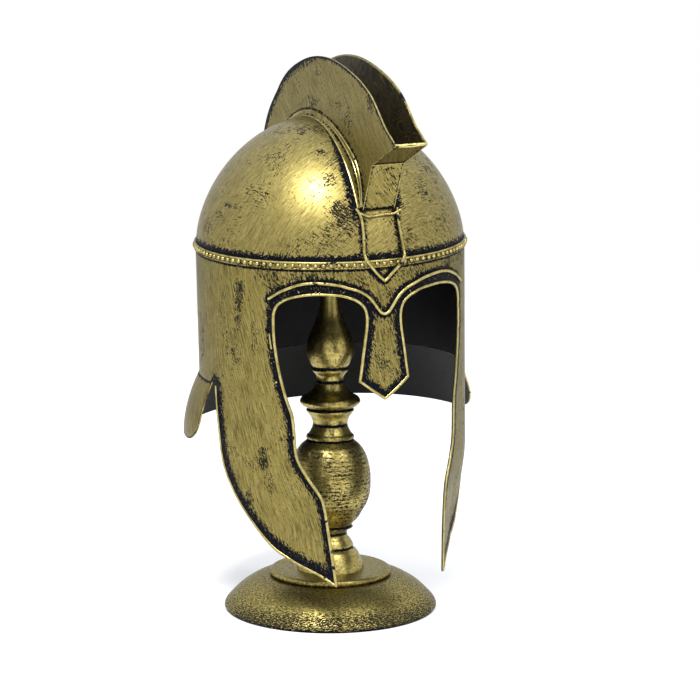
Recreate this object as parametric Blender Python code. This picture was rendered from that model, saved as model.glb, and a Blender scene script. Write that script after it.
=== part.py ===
"""Roman helmet on its turned display stand, in metres, +Z up, the face towards -Y."""

from math import cos, hypot, pi, radians, sin

import bmesh
import bpy
from mathutils import Matrix, Vector

for old in list(bpy.data.objects):
    bpy.data.objects.remove(old, do_unlink=True)

MM = 0.001
GAP = 0.3 * MM  # between pieces that touch
SHEET = 1.2 * MM  # helmet sheet metal
WIRE = 1.2 * MM  # radius of the round wire

# Placement of the helmet on the stand
BAND_HEIGHT_ABOVE_TABLE = 299.0 * MM
NOSE_DOWN = radians(3.3)  # the helmet hangs a little forward on its stem
LEAN = radians(2.3)  # and its right side, seen from the front, sits a little high

# Dome, a superellipse of revolution above the band
DOME_RADIUS = 105.4 * MM
DOME_HEIGHT = 97.0 * MM
DOME_CROWN = 2.13  # exponent across
DOME_SHOULDER = 1.65  # exponent upwards
DOME_SEGMENTS = 44
DOME_RINGS = 9

# Bead band
BAND_DEPTH = 6.1 * MM
BAND_THICKNESS = 1.0 * MM
STUD_HEIGHT = 1.1 * MM
STUD_COUNT = 115
BAND_RAIL = 1.1 * MM

# Wall: skirt, nasal and cheekpieces, drawn flat and then rolled
WALL_RADIUS = 106.0 * MM
WALL_STEP = radians(7.5)
MITRE_LIMIT = 0.35  # cosine past which an inset corner is cut short
TANGENT_ANGLE = radians(50.0)  # in front of this the cheekpieces run straight on
ROLLED_NASAL = 1.25  # half widths of the nasal within which the sheet stays rolled
FLAT_DEPTH = 1.4  # eye corner heights over which the cheekpiece leaves the roll
SKIRT_DROP = 104.0 * MM
SKIRT_DROP_BACK = 110.5 * MM
NASAL_HALF_WIDTH = 20.0 * MM
NASAL_DROP = 107.6 * MM
NASAL_TIP_MITRE = 1.6  # the blunt tip's inset, in wire clearances
EYE_REACH = 86.5 * MM  # round the wall from the nose to the eye's outer side
EYE_TOP = 25.0 * MM
EYE_CORNER = 25.0 * MM  # height of the eye's rounded outer corner
CHEEK_REACH = 150.5 * MM  # round the wall from the nose to the cheekpiece's rear edge
CHEEK_DROP = 249.0 * MM
CHEEK_CURL = 6.5 * MM  # the cheekpiece's lower rear margin bends in by this much
CURL_START = 0.66  # shares of the cheek's drop between which the bend grows
CURL_END = 0.90
CURL_WIDTH = 45.0 * MM  # across the cheekpiece, from its tip backward
BROW_REACH = 89.5 * MM
BROW_DIP = 41.7 * MM

# Each row of an edge: along the wall and down from the band's top, as shares of the two sizes named
# where the table is used.
NASAL_EDGE = [
    # half width, drop
    (0.09, 0.988),
    (0.52, 0.930),
    (1.00, 0.860),
    (0.93, 0.780),
    (0.85, 0.670),
    (0.77, 0.570),
    (0.70, 0.475),
    (0.69, 0.400),
]
EYE_EDGE = [
    # reach, share of the corner's height below the eye's top
    (0.178, 0.460),
    (0.219, 0.290),
    (0.292, 0.145),
    (0.384, 0.050),
    (0.490, 0.010),
    (0.624, 0.000),
    (0.763, 0.060),
    (0.867, 0.160),
    (0.931, 0.280),
    (0.971, 0.420),
    (0.993, 0.600),
    (1.000, 1.000),
]
CHEEK_FRONT = [
    # share of the eye's reach, share of the cheek's drop
    (0.994, 0.250),
    (0.982, 0.282),
    (0.963, 0.325),
    (0.935, 0.368),
    (0.902, 0.410),
    (0.868, 0.444),
    (0.838, 0.470),
    (0.823, 0.498),
    (0.816, 0.530),
    (0.811, 0.566),
    (0.798, 0.602),
    (0.760, 0.632),
    (0.694, 0.665),
    (0.613, 0.701),
    (0.556, 0.728),
    (0.532, 0.755),
    (0.514, 0.791),
    (0.495, 0.840),
    (0.466, 0.904),
    (0.442, 0.956),
]
CHEEK_TIP = (0.243, 1.000)  # shares of the cheek's reach and drop
CHEEK_REAR = [
    # reach, drop
    (0.337, 0.978),
    (0.417, 0.965),
    (0.496, 0.952),
    (0.574, 0.933),
    (0.642, 0.908),
    (0.702, 0.877),
    (0.761, 0.841),
    (0.815, 0.803),
    (0.864, 0.760),
    (0.902, 0.717),
    (0.934, 0.674),
    (0.957, 0.628),
    (0.972, 0.566),
    (0.987, 0.503),
    (0.994, 0.455),
    (0.996, 0.425),
]
BROW_EDGE = [
    # share of the brow's reach, share of its dip
    (0.000, 1.000),
    (0.032, 0.972),
    (0.065, 0.882),
    (0.106, 0.755),
    (0.156, 0.642),
    (0.223, 0.552),
    (0.302, 0.492),
    (0.385, 0.436),
    (0.469, 0.405),
    (0.559, 0.388),
    (0.637, 0.391),
    (0.721, 0.420),
    (0.804, 0.480),
    (0.899, 0.571),
    (1.000, 0.707),
]

# Neck guard
GUARD_START = radians(84.5)
GUARD_FLARE = 14.0 * MM
GUARD_FLARE_SHAPE = 1.8  # exponent; above 1 the flare is quick at the top and eases off below
GUARD_DEPTH = 48.5 * MM
GUARD_LOBE = radians(13.0)  # the rounded end takes this much of the turn
GUARD_FRONT_SHARE = 0.6  # straight part of the guard's front end
GUARD_LOBE_STEPS = 5
GUARD_COLUMNS = 30
GUARD_ROWS = 6

# Crest
CREST_HALF_WIDTH = 12.8 * MM
FRONT_PLATE_SLOPE = 1.15  # its thickness measured level, in sheets
CREST_ROOT = 0.1  # share of the peak's height where the outline closes inside the dome
CREST_ROOT_REACH = 0.5  # share of the lip's and the tail's reach at that height
CREST_LIP = 158.0 * MM  # forward reach
CREST_PEAK = 144.6 * MM  # above the band
CREST_TAIL = 114.0 * MM  # backward reach
FOOT_FORWARD = 97.0 * MM
FOOT_HEIGHT = 36.2 * MM
FOLD_FORWARD = 115.6 * MM
FOLD_HEIGHT = 72.7 * MM
LIP_HEIGHT = 92.0 * MM
CREST_EDGE_FRONT = [
    # share of the lip's reach, share of the rise from the lip to the peak
    (0.946, 0.098),
    (0.894, 0.184),
    (0.838, 0.318),
    (0.781, 0.467),
    (0.718, 0.607),
    (0.603, 0.764),
    (0.482, 0.871),
    (0.361, 0.948),
    (0.247, 0.992),
    (0.158, 1.000),
    (0.060, 0.986),
]
CREST_EDGE_BACK = [
    # share of the tail's reach, share of the peak's height
    (0.066, 0.977),
    (0.215, 0.947),
    (0.368, 0.905),
    (0.486, 0.861),
    (0.586, 0.809),
    (0.668, 0.753),
    (0.745, 0.702),
    (0.822, 0.645),
    (0.903, 0.565),
    (0.960, 0.480),
    (0.995, 0.390),
    (1.000, 0.300),
    (0.980, 0.210),
    (0.935, 0.120),
]
STRIP_OUT = 2.2 * MM  # the crest's foot strip, out over the dome
STRIP_UP = 13.5 * MM  # and up the side plate, at its widest
STRIP_SHEET = 0.9 * MM
STRIP_FRONT = radians(68.0)  # measured from straight up, forward
STRIP_SHAPE = [
    # share of the front angle, share of the rise
    (1.00, 0.30),
    (0.96, 0.42),
    (0.91, 0.68),
    (0.85, 0.88),
    (0.79, 0.98),
    (0.73, 1.00),
    (0.65, 0.86),
    (0.56, 0.70),
    (0.48, 0.58),
    (0.38, 0.46),
    (0.28, 0.38),
    (0.18, 0.32),
    (0.08, 0.30),
    (-0.04, 0.28),
    (-0.18, 0.26),
    (-0.34, 0.26),
    (-0.50, 0.26),
    (-0.66, 0.26),
    (-0.82, 0.26),
    (-0.96, 0.24),
]

# Pointed wire frame under the crest
TONGUE_HALF_WIDTH = 16.1 * MM
TONGUE_DROP = 16.4 * MM
TONGUE_LEAN = 0.55  # how far it leans back from the band for each unit up, until it meets the dome
TONGUE_SIDE = [
    # share of the half width, share of the foot's height
    (0.93, 0.960),
    (0.91, 0.780),
    (0.93, 0.560),
    (0.97, 0.340),
    (1.00, 0.130),
    (1.00, 0.040),
]
TONGUE_POINT = [
    # share of the half width, share of the drop
    (0.88, 0.050),
    (0.69, 0.300),
    (0.41, 0.640),
    (0.15, 0.940),
    (0.00, 1.000),
]

# Stand
BASE_RADIUS = 85.3 * MM
BASE_HEIGHT = 32.0 * MM
BASE_SEGMENTS = 44
STEM_SEGMENTS = 24
BULB_RADIUS = 32.5 * MM
VASE_TOP = 249.0 * MM  # above the table, where the plain rod begins
ROD_RADIUS = 7.2 * MM
ROD_BLEND = 10.0 * MM  # from the vase's top to the plain rod
BUTTON_RADIUS = 9.5 * MM
BUTTON_DROP = 2.6 * MM
BUTTON_FLARE = 23.8 * MM  # length over which the rod widens to the button
BUTTON_STEPS = 4
BASE_PROFILE = [
    # share of the base's radius, share of its height
    (0.985, 0.000),
    (1.000, 0.060),
    (0.994, 0.130),
    (0.950, 0.270),
    (0.863, 0.497),
    (0.777, 0.652),
    (0.690, 0.770),
    (0.600, 0.830),
    (0.552, 0.825),
    (0.570, 0.870),
    (0.570, 0.940),
    (0.550, 0.985),
    (0.520, 0.985),
    (0.400, 0.985),
]
STEM_PROFILE = [
    # share of the bulb's radius, share of the way from the base's top to the vase's top
    (0.830, 0.000),
    (0.800, 0.018),
    (0.725, 0.046),
    (0.640, 0.067),
    (0.565, 0.076),
    (0.545, 0.080),
    (0.565, 0.085),
    (0.540, 0.096),
    (0.490, 0.109),
    (0.437, 0.118),
    (0.406, 0.133),
    (0.460, 0.148),
    (0.560, 0.155),
    (0.525, 0.161),
    (0.563, 0.172),
    (0.686, 0.191),
    (0.790, 0.217),
    (0.908, 0.248),
    (0.982, 0.286),
    (1.000, 0.335),
    (0.980, 0.375),
    (0.900, 0.420),
    (0.750, 0.459),
    (0.590, 0.480),
    (0.560, 0.484),
    (0.590, 0.490),
    (0.580, 0.500),
    (0.538, 0.505),
    (0.500, 0.514),
    (0.428, 0.540),
    (0.470, 0.566),
    (0.590, 0.594),
    (0.560, 0.600),
    (0.680, 0.612),
    (0.745, 0.625),
    (0.700, 0.640),
    (0.560, 0.652),
    (0.430, 0.670),
    (0.345, 0.700),
    (0.350, 0.722),
    (0.445, 0.742),
    (0.430, 0.752),
    (0.500, 0.770),
    (0.588, 0.812),
    (0.560, 0.850),
    (0.420, 0.900),
    (0.300, 0.945),
    (0.235, 1.000),
]

SEAT = Matrix.Translation((0, 0, BAND_HEIGHT_ABOVE_TABLE)) @ (
    Matrix.Rotation(-LEAN, 4, "Y") @ Matrix.Rotation(NOSE_DOWN, 4, "X")
)


def finish(name, colour, roughness, metallic=1.0):
    material = bpy.data.materials.new(name)
    material.use_nodes = True
    shader = material.node_tree.nodes["Principled BSDF"]
    shader.inputs["Base Color"].default_value = (*colour, 1.0)
    shader.inputs["Roughness"].default_value = roughness
    shader.inputs["Metallic"].default_value = metallic
    return material


def placed(name, data, material, parent):
    if material:
        data.materials.append(material)
    item = bpy.data.objects.new(name, data)
    bpy.context.scene.collection.objects.link(item)
    item.parent = parent
    return item


def place(name, bm, material, parent=None):
    """Turns a bmesh into a named object with its normals outward."""
    bmesh.ops.recalc_face_normals(bm, faces=bm.faces)
    mesh = bpy.data.meshes.new(name)
    bm.to_mesh(mesh)
    bm.free()
    return placed(name, mesh, material, parent)


def spun(profile, segments, closed):
    """A bmesh turned about +Z from a profile of (radius, height); closed joins its last point to its first."""
    bm = bmesh.new()
    points = [bm.verts.new((radius, 0, height)) for radius, height in profile]
    pairs = list(zip(points, points[1:]))
    if closed:
        pairs.append((points[-1], points[0]))
    edges = [bm.edges.new(pair) for pair in pairs]
    bmesh.ops.spin(
        bm, geom=points + edges, cent=(0, 0, 0), axis=(0, 0, 1), angle=2 * pi, steps=segments, use_merge=True
    )
    bmesh.ops.remove_doubles(bm, verts=bm.verts, dist=0.01 * MM)
    return bm


def dome_profile(offset, rings, lowest):
    """Outline of the dome, moved outward by an offset, from its lower edge to the crown."""
    radius, height = DOME_RADIUS + offset, DOME_HEIGHT + offset
    points = [(radius, lowest)]
    for step in range(rings + 1):
        turn = step / rings * pi / 2
        points.append((radius * max(cos(turn), 0.0) ** (2 / DOME_CROWN), height * sin(turn) ** (2 / DOME_SHOULDER)))
    points[-1] = (0.0, height)
    return points


def dome_radius_at(height, offset=0.0):
    share = min(max(height, 0.0) / (DOME_HEIGHT + offset), 1.0)
    return (DOME_RADIUS + offset) * (1 - share**DOME_SHOULDER) ** (1 / DOME_CROWN)


def dome_height_at(radius, offset=0.0):
    share = min(radius / (DOME_RADIUS + offset), 1.0)
    return (DOME_HEIGHT + offset) * (1 - share**DOME_CROWN) ** (1 / DOME_SHOULDER)


def on_wall(along, drop, lift=0.0):
    """Rolls a point of the flat wall; along runs round from the nose, lift is out from the outer face."""
    side = 1 if along >= 0 else -1
    reach = abs(along)
    turn = reach / WALL_RADIUS
    radius = WALL_RADIUS + lift - cheek_curl(reach, drop)
    rolled = Vector((radius * sin(turn), -radius * cos(turn)))
    straight_share = cheek_share(reach, drop)
    if turn < TANGENT_ANGLE and straight_share > 0:
        ahead = WALL_RADIUS * TANGENT_ANGLE - reach
        start = Vector((radius * sin(TANGENT_ANGLE), -radius * cos(TANGENT_ANGLE)))
        flat = start - ahead * Vector((cos(TANGENT_ANGLE), sin(TANGENT_ANGLE)))
        rolled = rolled.lerp(flat, straight_share)
    return Vector((side * rolled.x, rolled.y, -drop))


def cheek_share(reach, drop):
    """How far a point has left the roll for the cheekpiece's flat: none on the skirt and nasal, all below the eye."""
    if reach < ROLLED_NASAL * NASAL_HALF_WIDTH:
        return 0.0
    share = min(max((drop - EYE_TOP) / (FLAT_DEPTH * EYE_CORNER), 0.0), 1.0)
    return share * share * (3 - 2 * share)


def cheek_curl(reach, drop):
    """How far the cheekpiece's lower rear margin lies inside the rolled or flat sheet."""
    down = min(max((drop / CHEEK_DROP - CURL_START) / (CURL_END - CURL_START), 0.0), 1.0)
    across = min(max((reach - CHEEK_TIP[0] * CHEEK_REACH) / CURL_WIDTH, 0.0), 1.0)
    return CHEEK_CURL * down * down * (3 - 2 * down) * across


def nasal_points():
    return [(a * NASAL_HALF_WIDTH, d * NASAL_DROP) for a, d in NASAL_EDGE]


def eye_points():
    return [(a * EYE_REACH, EYE_TOP + d * EYE_CORNER) for a, d in EYE_EDGE]


def cheek_points():
    front = [(a * EYE_REACH, d * CHEEK_DROP) for a, d in CHEEK_FRONT]
    rear = [(a * CHEEK_REACH, d * CHEEK_DROP) for a, d in CHEEK_REAR]
    return front + [(CHEEK_TIP[0] * CHEEK_REACH, CHEEK_TIP[1] * CHEEK_DROP)] + rear


def rim_line():
    """Centre line of the rim wire on one side, flat: nasal, eye, cheekpiece front, tip and rear."""
    return nasal_points() + eye_points() + cheek_points()


def inset_line(points, distance):
    """The rim's line moved into the sheet by a distance, with mitred corners."""
    moved = []
    for index, (x, y) in enumerate(points):
        before = Vector(points[max(index - 1, 0)])
        after = Vector(points[min(index + 1, len(points) - 1)])
        here = Vector((x, y))
        into = (here - before).normalized() if index else (after - here).normalized()
        out = (after - here).normalized() if index < len(points) - 1 else into
        side = Vector((into.y, -into.x))
        inward = (side + Vector((out.y, -out.x))).normalized()
        moved.append(tuple(here + inward * distance / max(inward.dot(side), MITRE_LIMIT)))
    return moved


def wall_outline():
    """Half of the flat sheet, from the middle of the top edge round to the nasal's tip."""
    top = BAND_DEPTH / 2 + GAP / 2
    back = WALL_RADIUS * pi - GAP / 2
    edge = inset_line(rim_line(), WIRE + GAP)
    bottom = [(back, SKIRT_DROP_BACK), (CHEEK_REACH + WIRE, SKIRT_DROP)]
    cheek_top = (CHEEK_REACH - WIRE - GAP, SKIRT_DROP + GAP)
    tip = (0.0, NASAL_DROP - NASAL_TIP_MITRE * (WIRE + GAP))
    return [(0.0, top), (back, top)] + bottom + [cheek_top] + edge[::-1] + [tip]


def skirt_drop_at(turn):
    """Drop of the skirt's lower edge at an angle from the nose; straight in the flat sheet."""
    start = (CHEEK_REACH + WIRE) / WALL_RADIUS
    share = min(max((turn - start) / (pi - start), 0.0), 1.0)
    return SKIRT_DROP + (SKIRT_DROP_BACK - SKIRT_DROP) * share


def rolled_sheet(outline, thickness):
    """Cuts a flat outline of (along, drop) by upright lines, thickens it and rolls it on the wall."""
    bm = bmesh.new()
    bm.faces.new([bm.verts.new((along, -drop, 0)) for along, drop in outline])
    pitch = WALL_RADIUS * WALL_STEP
    reach = max(abs(along) for along, drop in outline)
    for step in range(-int(reach / pitch), int(reach / pitch) + 1):
        geom = bm.verts[:] + bm.edges[:] + bm.faces[:]
        bmesh.ops.bisect_plane(bm, geom=geom, plane_co=(step * pitch, 0, 0), plane_no=(1, 0, 0), dist=0.001 * MM)
    bmesh.ops.triangulate(bm, faces=bm.faces)
    made = bmesh.ops.extrude_face_region(bm, geom=bm.faces[:], use_keep_orig=True)
    for vertex in [part for part in made["geom"] if isinstance(part, bmesh.types.BMVert)]:
        vertex.co.z = -thickness
    for vertex in bm.verts:
        vertex.co = on_wall(vertex.co.x, -vertex.co.y, vertex.co.z)
    return bm


def mirrored(outline):
    """A whole outline from its right half, whose first and last points lie on the middle line."""
    left = [(-along, drop) for along, drop in outline[-2:0:-1]]
    return outline + left


def wire(name, points, radius, material, parent, cyclic=False):
    """A round wire through points, as a bevelled curve with filled ends."""
    curve = bpy.data.curves.new(name, "CURVE")
    curve.dimensions = "3D"
    curve.bevel_depth = radius
    curve.bevel_resolution = 1
    curve.use_fill_caps = True
    spline = curve.splines.new("POLY")
    spline.points.add(len(points) - 1)
    for slot, point in zip(spline.points, points):
        slot.co = (*point, 1.0)
    spline.use_cyclic_u = cyclic
    return placed(name, curve, material, parent)


def make_dome(material, parent):
    lowest = -BAND_DEPTH / 2 + GAP / 2
    outer = dome_profile(0.0, DOME_RINGS, lowest)
    inner = dome_profile(-SHEET, DOME_RINGS, lowest)
    bm = spun(outer + inner[::-1], DOME_SEGMENTS, closed=True)
    place("dome", bm, material, parent)


def make_bead_band(material, parent):
    """A strip with a pyramid stud in each cell, closed into a ring."""
    inner = WALL_RADIUS + GAP
    outer = inner + BAND_THICKNESS
    section = [
        (inner, 0.0),
        (outer, 0.0),
        (outer, -BAND_RAIL),
        (outer, -BAND_DEPTH + BAND_RAIL),
        (outer, -BAND_DEPTH),
        (inner, -BAND_DEPTH),
    ]
    bm = spun(section, STUD_COUNT, closed=True)
    bmesh.ops.recalc_face_normals(bm, faces=bm.faces)
    reach = outer * cos(pi / STUD_COUNT)
    cells = [face for face in bm.faces if is_stud_cell(face, reach)]
    made = bmesh.ops.poke(bm, faces=cells)
    for vertex in made["verts"]:
        out = Vector((vertex.co.x, vertex.co.y, 0)).normalized()
        vertex.co += out * STUD_HEIGHT
    place("bead_band", bm, material, parent)


def is_stud_cell(face, reach):
    centre = face.calc_center_median()
    on_outer_face = hypot(centre.x, centre.y) > reach - 0.1 * MM and abs(face.normal.z) < 0.1
    return on_outer_face and abs(centre.z + BAND_DEPTH / 2) < BAND_DEPTH / 4


def make_face_wall(material, parent):
    bm = rolled_sheet(mirrored(wall_outline()), SHEET)
    place("face_wall", bm, material, parent)


def make_neck_guard(material, parent):
    """A cone sheet from one cheekpiece's slit round the back to the other, with rounded lower ends."""
    bm = bmesh.new()
    sweep = 2 * (pi - GUARD_START)
    columns = guard_columns(sweep)
    grid = []
    for layer in (0.0, -SHEET):
        rows = []
        for share, full in columns:
            turn = GUARD_START + share * sweep
            top = skirt_drop_at(min(turn, 2 * pi - turn)) + GAP
            column = []
            for row in range(GUARD_ROWS + 1):
                down = row / GUARD_ROWS * full
                radius = WALL_RADIUS + layer + GUARD_FLARE * (1 - (1 - down) ** GUARD_FLARE_SHAPE)
                spot = (radius * sin(turn), -radius * cos(turn), -top - GUARD_DEPTH * down)
                column.append(bm.verts.new(spot))
            rows.append(column)
        grid.append(rows)
    outer, inner = grid
    for a in range(len(columns) - 1):
        for b in range(GUARD_ROWS):
            bm.faces.new((outer[a][b], outer[a + 1][b], outer[a + 1][b + 1], outer[a][b + 1]))
            bm.faces.new((inner[a][b], inner[a][b + 1], inner[a + 1][b + 1], inner[a + 1][b]))
        bm.faces.new((outer[a][0], inner[a][0], inner[a + 1][0], outer[a + 1][0]))
        bm.faces.new((outer[a][-1], outer[a + 1][-1], inner[a + 1][-1], inner[a][-1]))
    for b in range(GUARD_ROWS):
        bm.faces.new((outer[0][b], outer[0][b + 1], inner[0][b + 1], inner[0][b]))
        bm.faces.new((outer[-1][b], inner[-1][b], inner[-1][b + 1], outer[-1][b + 1]))
    place("neck_guard", bm, material, parent)


def guard_columns(sweep):
    """Where the guard's columns stand, and how far down each reaches: quarter rounds at both ends."""
    lobe = GUARD_LOBE / sweep
    ends = []
    for step in range(GUARD_LOBE_STEPS + 1):
        turn = step / GUARD_LOBE_STEPS * pi / 2
        ends.append((lobe * (1 - cos(turn)), GUARD_FRONT_SHARE + (1 - GUARD_FRONT_SHARE) * sin(turn)))
    middle = GUARD_COLUMNS - 2 * GUARD_LOBE_STEPS
    across = [(lobe + (1 - 2 * lobe) * step / middle, 1.0) for step in range(1, middle)]
    return ends + across + [(1 - share, full) for share, full in reversed(ends)]


def crest_edge():
    """Outer edge of the crest's side plate from the lip over the peak to the tail, as (forward, up)."""
    rise = CREST_PEAK - LIP_HEIGHT
    front = [(f * CREST_LIP, LIP_HEIGHT + u * rise) for f, u in CREST_EDGE_FRONT]
    back = [(-f * CREST_TAIL, u * CREST_PEAK) for f, u in CREST_EDGE_BACK]
    return [(CREST_LIP, LIP_HEIGHT)] + front + back


def prism(outline, half_width):
    """A solid of an outline of (forward, up), as wide as twice the half width."""
    bm = bmesh.new()
    face = bm.faces.new([bm.verts.new((-half_width, -forward, up)) for forward, up in outline])
    made = bmesh.ops.extrude_face_region(bm, geom=[face], use_keep_orig=True)
    for vertex in [part for part in made["geom"] if isinstance(part, bmesh.types.BMVert)]:
        vertex.co.x = half_width
    return bm


def cut(item, name, bm):
    """Cuts a bmesh out of an object, as a hidden tool under the same parent."""
    tool = place(name, bm, None, item.parent)
    tool.hide_render = True
    tool.display_type = "WIRE"
    modifier = item.modifiers.new(name, "BOOLEAN")
    modifier.operation = "DIFFERENCE"
    modifier.solver = "EXACT"
    modifier.object = tool


def make_crest(material, parent):
    """Side plates and folded front plate: a prism, less its inside and less the dome."""
    root = CREST_ROOT * CREST_PEAK
    inside_dome = [(-CREST_ROOT_REACH * CREST_TAIL, root), (CREST_ROOT_REACH * CREST_LIP, root)]
    outline = crest_edge() + inside_dome + [(FOOT_FORWARD, FOOT_HEIGHT), (FOLD_FORWARD, FOLD_HEIGHT)]
    crest = place("crest", prism(outline, CREST_HALF_WIDTH), material, parent)
    beyond = 3 * CREST_PEAK
    fold_slope = SHEET * FRONT_PLATE_SLOPE
    hollow = [
        (CREST_LIP - fold_slope, LIP_HEIGHT + SHEET),
        (CREST_LIP - fold_slope, beyond),
        (-2 * CREST_TAIL, beyond),
        (-2 * CREST_TAIL, -CREST_PEAK / 4),
        (FOOT_FORWARD - fold_slope - FOOT_HEIGHT / 2, -CREST_PEAK / 4),
        (FOOT_FORWARD - fold_slope, FOOT_HEIGHT),
        (FOLD_FORWARD - fold_slope, FOLD_HEIGHT + SHEET / 2),
    ]
    cut(crest, "crest_hollow_cutter", prism(hollow, CREST_HALF_WIDTH - SHEET))
    profile = dome_profile(GAP, 2 * DOME_RINGS, -CREST_PEAK / 2)
    dome_bm = spun([(0.0, -CREST_PEAK / 2)] + profile, 2 * DOME_SEGMENTS, closed=False)
    cut(crest, "crest_dome_cutter", dome_bm)


def dome_reach(across, angle):
    """From the band's middle to the dome's face, at an angle from straight up in the plane that far across."""
    near, far = 0.0, 2 * DOME_RADIUS
    for _ in range(40):
        middle = (near + far) / 2
        forward, up = middle * sin(angle), middle * cos(angle)
        inside = up < dome_height_at(hypot(across, forward), GAP) and hypot(across, forward) < DOME_RADIUS + GAP
        near, far = (middle, far) if inside else (near, middle)
    return near


def strip_section(side, angle, rise):
    """Four corners of the foot strip: two on the dome, two on the side plate."""
    plate = CREST_HALF_WIDTH + GAP
    out = Vector((0, -sin(angle), cos(angle)))
    foot = plate + STRIP_OUT
    low = dome_reach(foot + STRIP_SHEET, angle) + GAP
    corners = [
        (foot, low),
        (foot + STRIP_SHEET, low),
        (plate + STRIP_SHEET, low + rise),
        (plate, low + rise),
    ]
    return [Vector((side * across, 0, 0)) + out * reach for across, reach in corners]


def make_crest_foot(name, side, material, parent):
    """Lofts the strip's sections from the front foot over the dome to the tail."""
    bm = bmesh.new()
    sections = []
    for angle_share, rise_share in STRIP_SHAPE:
        corners = strip_section(side, angle_share * STRIP_FRONT, rise_share * STRIP_UP)
        sections.append([bm.verts.new(corner) for corner in corners])
    for one, two in zip(sections, sections[1:]):
        for index in range(4):
            after = (index + 1) % 4
            bm.faces.new((one[index], one[after], two[after], two[index]))
    bm.faces.new(sections[0])
    bm.faces.new(sections[-1])
    place(name, bm, material, parent)


def make_rim_wires(material, parent):
    for name, side in (("rim_wire_right", 1), ("rim_wire_left", -1)):
        line = [(side * along, drop) for along, drop in rim_line()]
        points = [on_wall(along, drop, -SHEET / 2) for along, drop in line]
        wire(name, points, WIRE, material, parent)


def make_brow_wire(material, parent):
    half = [(a * BROW_REACH, d * BROW_DIP) for a, d in BROW_EDGE]
    line = [(-along, drop) for along, drop in half[:0:-1]] + half
    wire("brow_wire", [on_wall(a, d, WIRE + GAP) for a, d in line], WIRE, material, parent)


def tongue_spot(across, up):
    """A point of the pointed frame, which is flat across and leans on the dome, the band or the wall."""
    band_face = WALL_RADIUS + GAP + BAND_THICKNESS + STUD_HEIGHT
    if up > 2 * WIRE:
        reach = max(dome_radius_at(up), band_face - up * TONGUE_LEAN)
    elif up > -BAND_DEPTH - WIRE:
        reach = band_face
    else:
        reach = WALL_RADIUS
    return Vector((across, -reach - WIRE - GAP, up))


def make_tongue_wire(material, parent):
    side = [(a * TONGUE_HALF_WIDTH, u * (FOOT_HEIGHT - WIRE)) for a, u in TONGUE_SIDE]
    point = [(a * TONGUE_HALF_WIDTH, -u * TONGUE_DROP) for a, u in TONGUE_POINT]
    half = side + point
    line = half + [(-across, up) for across, up in half[-2::-1]]
    wire("tongue_wire", [tongue_spot(a, u) for a, u in line], WIRE, material, parent, cyclic=True)


def make_base(material):
    profile = [(r * BASE_RADIUS, h * BASE_HEIGHT) for r, h in BASE_PROFILE]
    top = profile[-1][1]
    place("stand_base", spun([(0.0, 0.0)] + profile + [(0.0, top)], BASE_SEGMENTS, closed=False), material)


def stem_top():
    """Height on the stand's axis of the dome's inner facets, which the tilted axis meets beside the crown."""
    up = (SEAT.to_3x3().inverted() @ Vector((0, 0, 1))).normalized()
    (edge_radius, edge_height), (_, crown) = dome_profile(-SHEET, DOME_RINGS, 0.0)[-2:]
    fall = (crown - edge_height) / (edge_radius * cos(pi / DOME_SEGMENTS))
    return BAND_HEIGHT_ABOVE_TABLE + crown / (up.z + fall * hypot(up.x, up.y))


def make_stem(material):
    start = BASE_PROFILE[-1][1] * BASE_HEIGHT + GAP
    length = VASE_TOP - start
    profile = [(r * BULB_RADIUS, start + h * length) for r, h in STEM_PROFILE]
    top = stem_top() - GAP
    rod_end = top - BUTTON_DROP - BUTTON_FLARE
    profile += [(ROD_RADIUS, VASE_TOP + ROD_BLEND), (ROD_RADIUS, rod_end)]
    for step in range(BUTTON_STEPS + 1):
        turn = step / BUTTON_STEPS * pi / 2
        profile.append((BUTTON_RADIUS * cos(turn), top - BUTTON_DROP * (1 - sin(turn))))
    profile[-1] = (0.0, top)
    place("stand_stem", spun([(0.0, start)] + profile, STEM_SEGMENTS, closed=False), material)


def build():
    gold = finish("antique_gold_sheet", (0.42, 0.33, 0.13), 0.38)
    bright = finish("bright_gold_wire", (0.68, 0.55, 0.27), 0.28)
    gilt = finish("gilt_stand", (0.42, 0.33, 0.13), 0.42, 0.8)
    seat = bpy.data.objects.new("helmet_seat", None)
    bpy.context.scene.collection.objects.link(seat)
    seat.matrix_world = SEAT
    make_dome(gold, seat)
    make_bead_band(bright, seat)
    make_face_wall(gold, seat)
    make_neck_guard(gold, seat)
    make_crest(gold, seat)
    make_crest_foot("crest_foot_right", 1, bright, seat)
    make_crest_foot("crest_foot_left", -1, bright, seat)
    make_rim_wires(bright, seat)
    make_brow_wire(bright, seat)
    make_tongue_wire(bright, seat)
    make_base(gilt)
    make_stem(gilt)


build()
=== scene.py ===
"""Roman helmet of antique gold sheet on its turned stand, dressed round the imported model.

Metres, +Z up, the face towards -Y. Helmet pieces are shaped upright, with the band's top at height 0,
and then seated on the stand by SEAT, as in the CAD source.
"""

from math import atan2, cos, hypot, pi, radians, sin

import bmesh
import bpy
from mathutils import Matrix, Vector, noise
from mathutils.kdtree import KDTree


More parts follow.
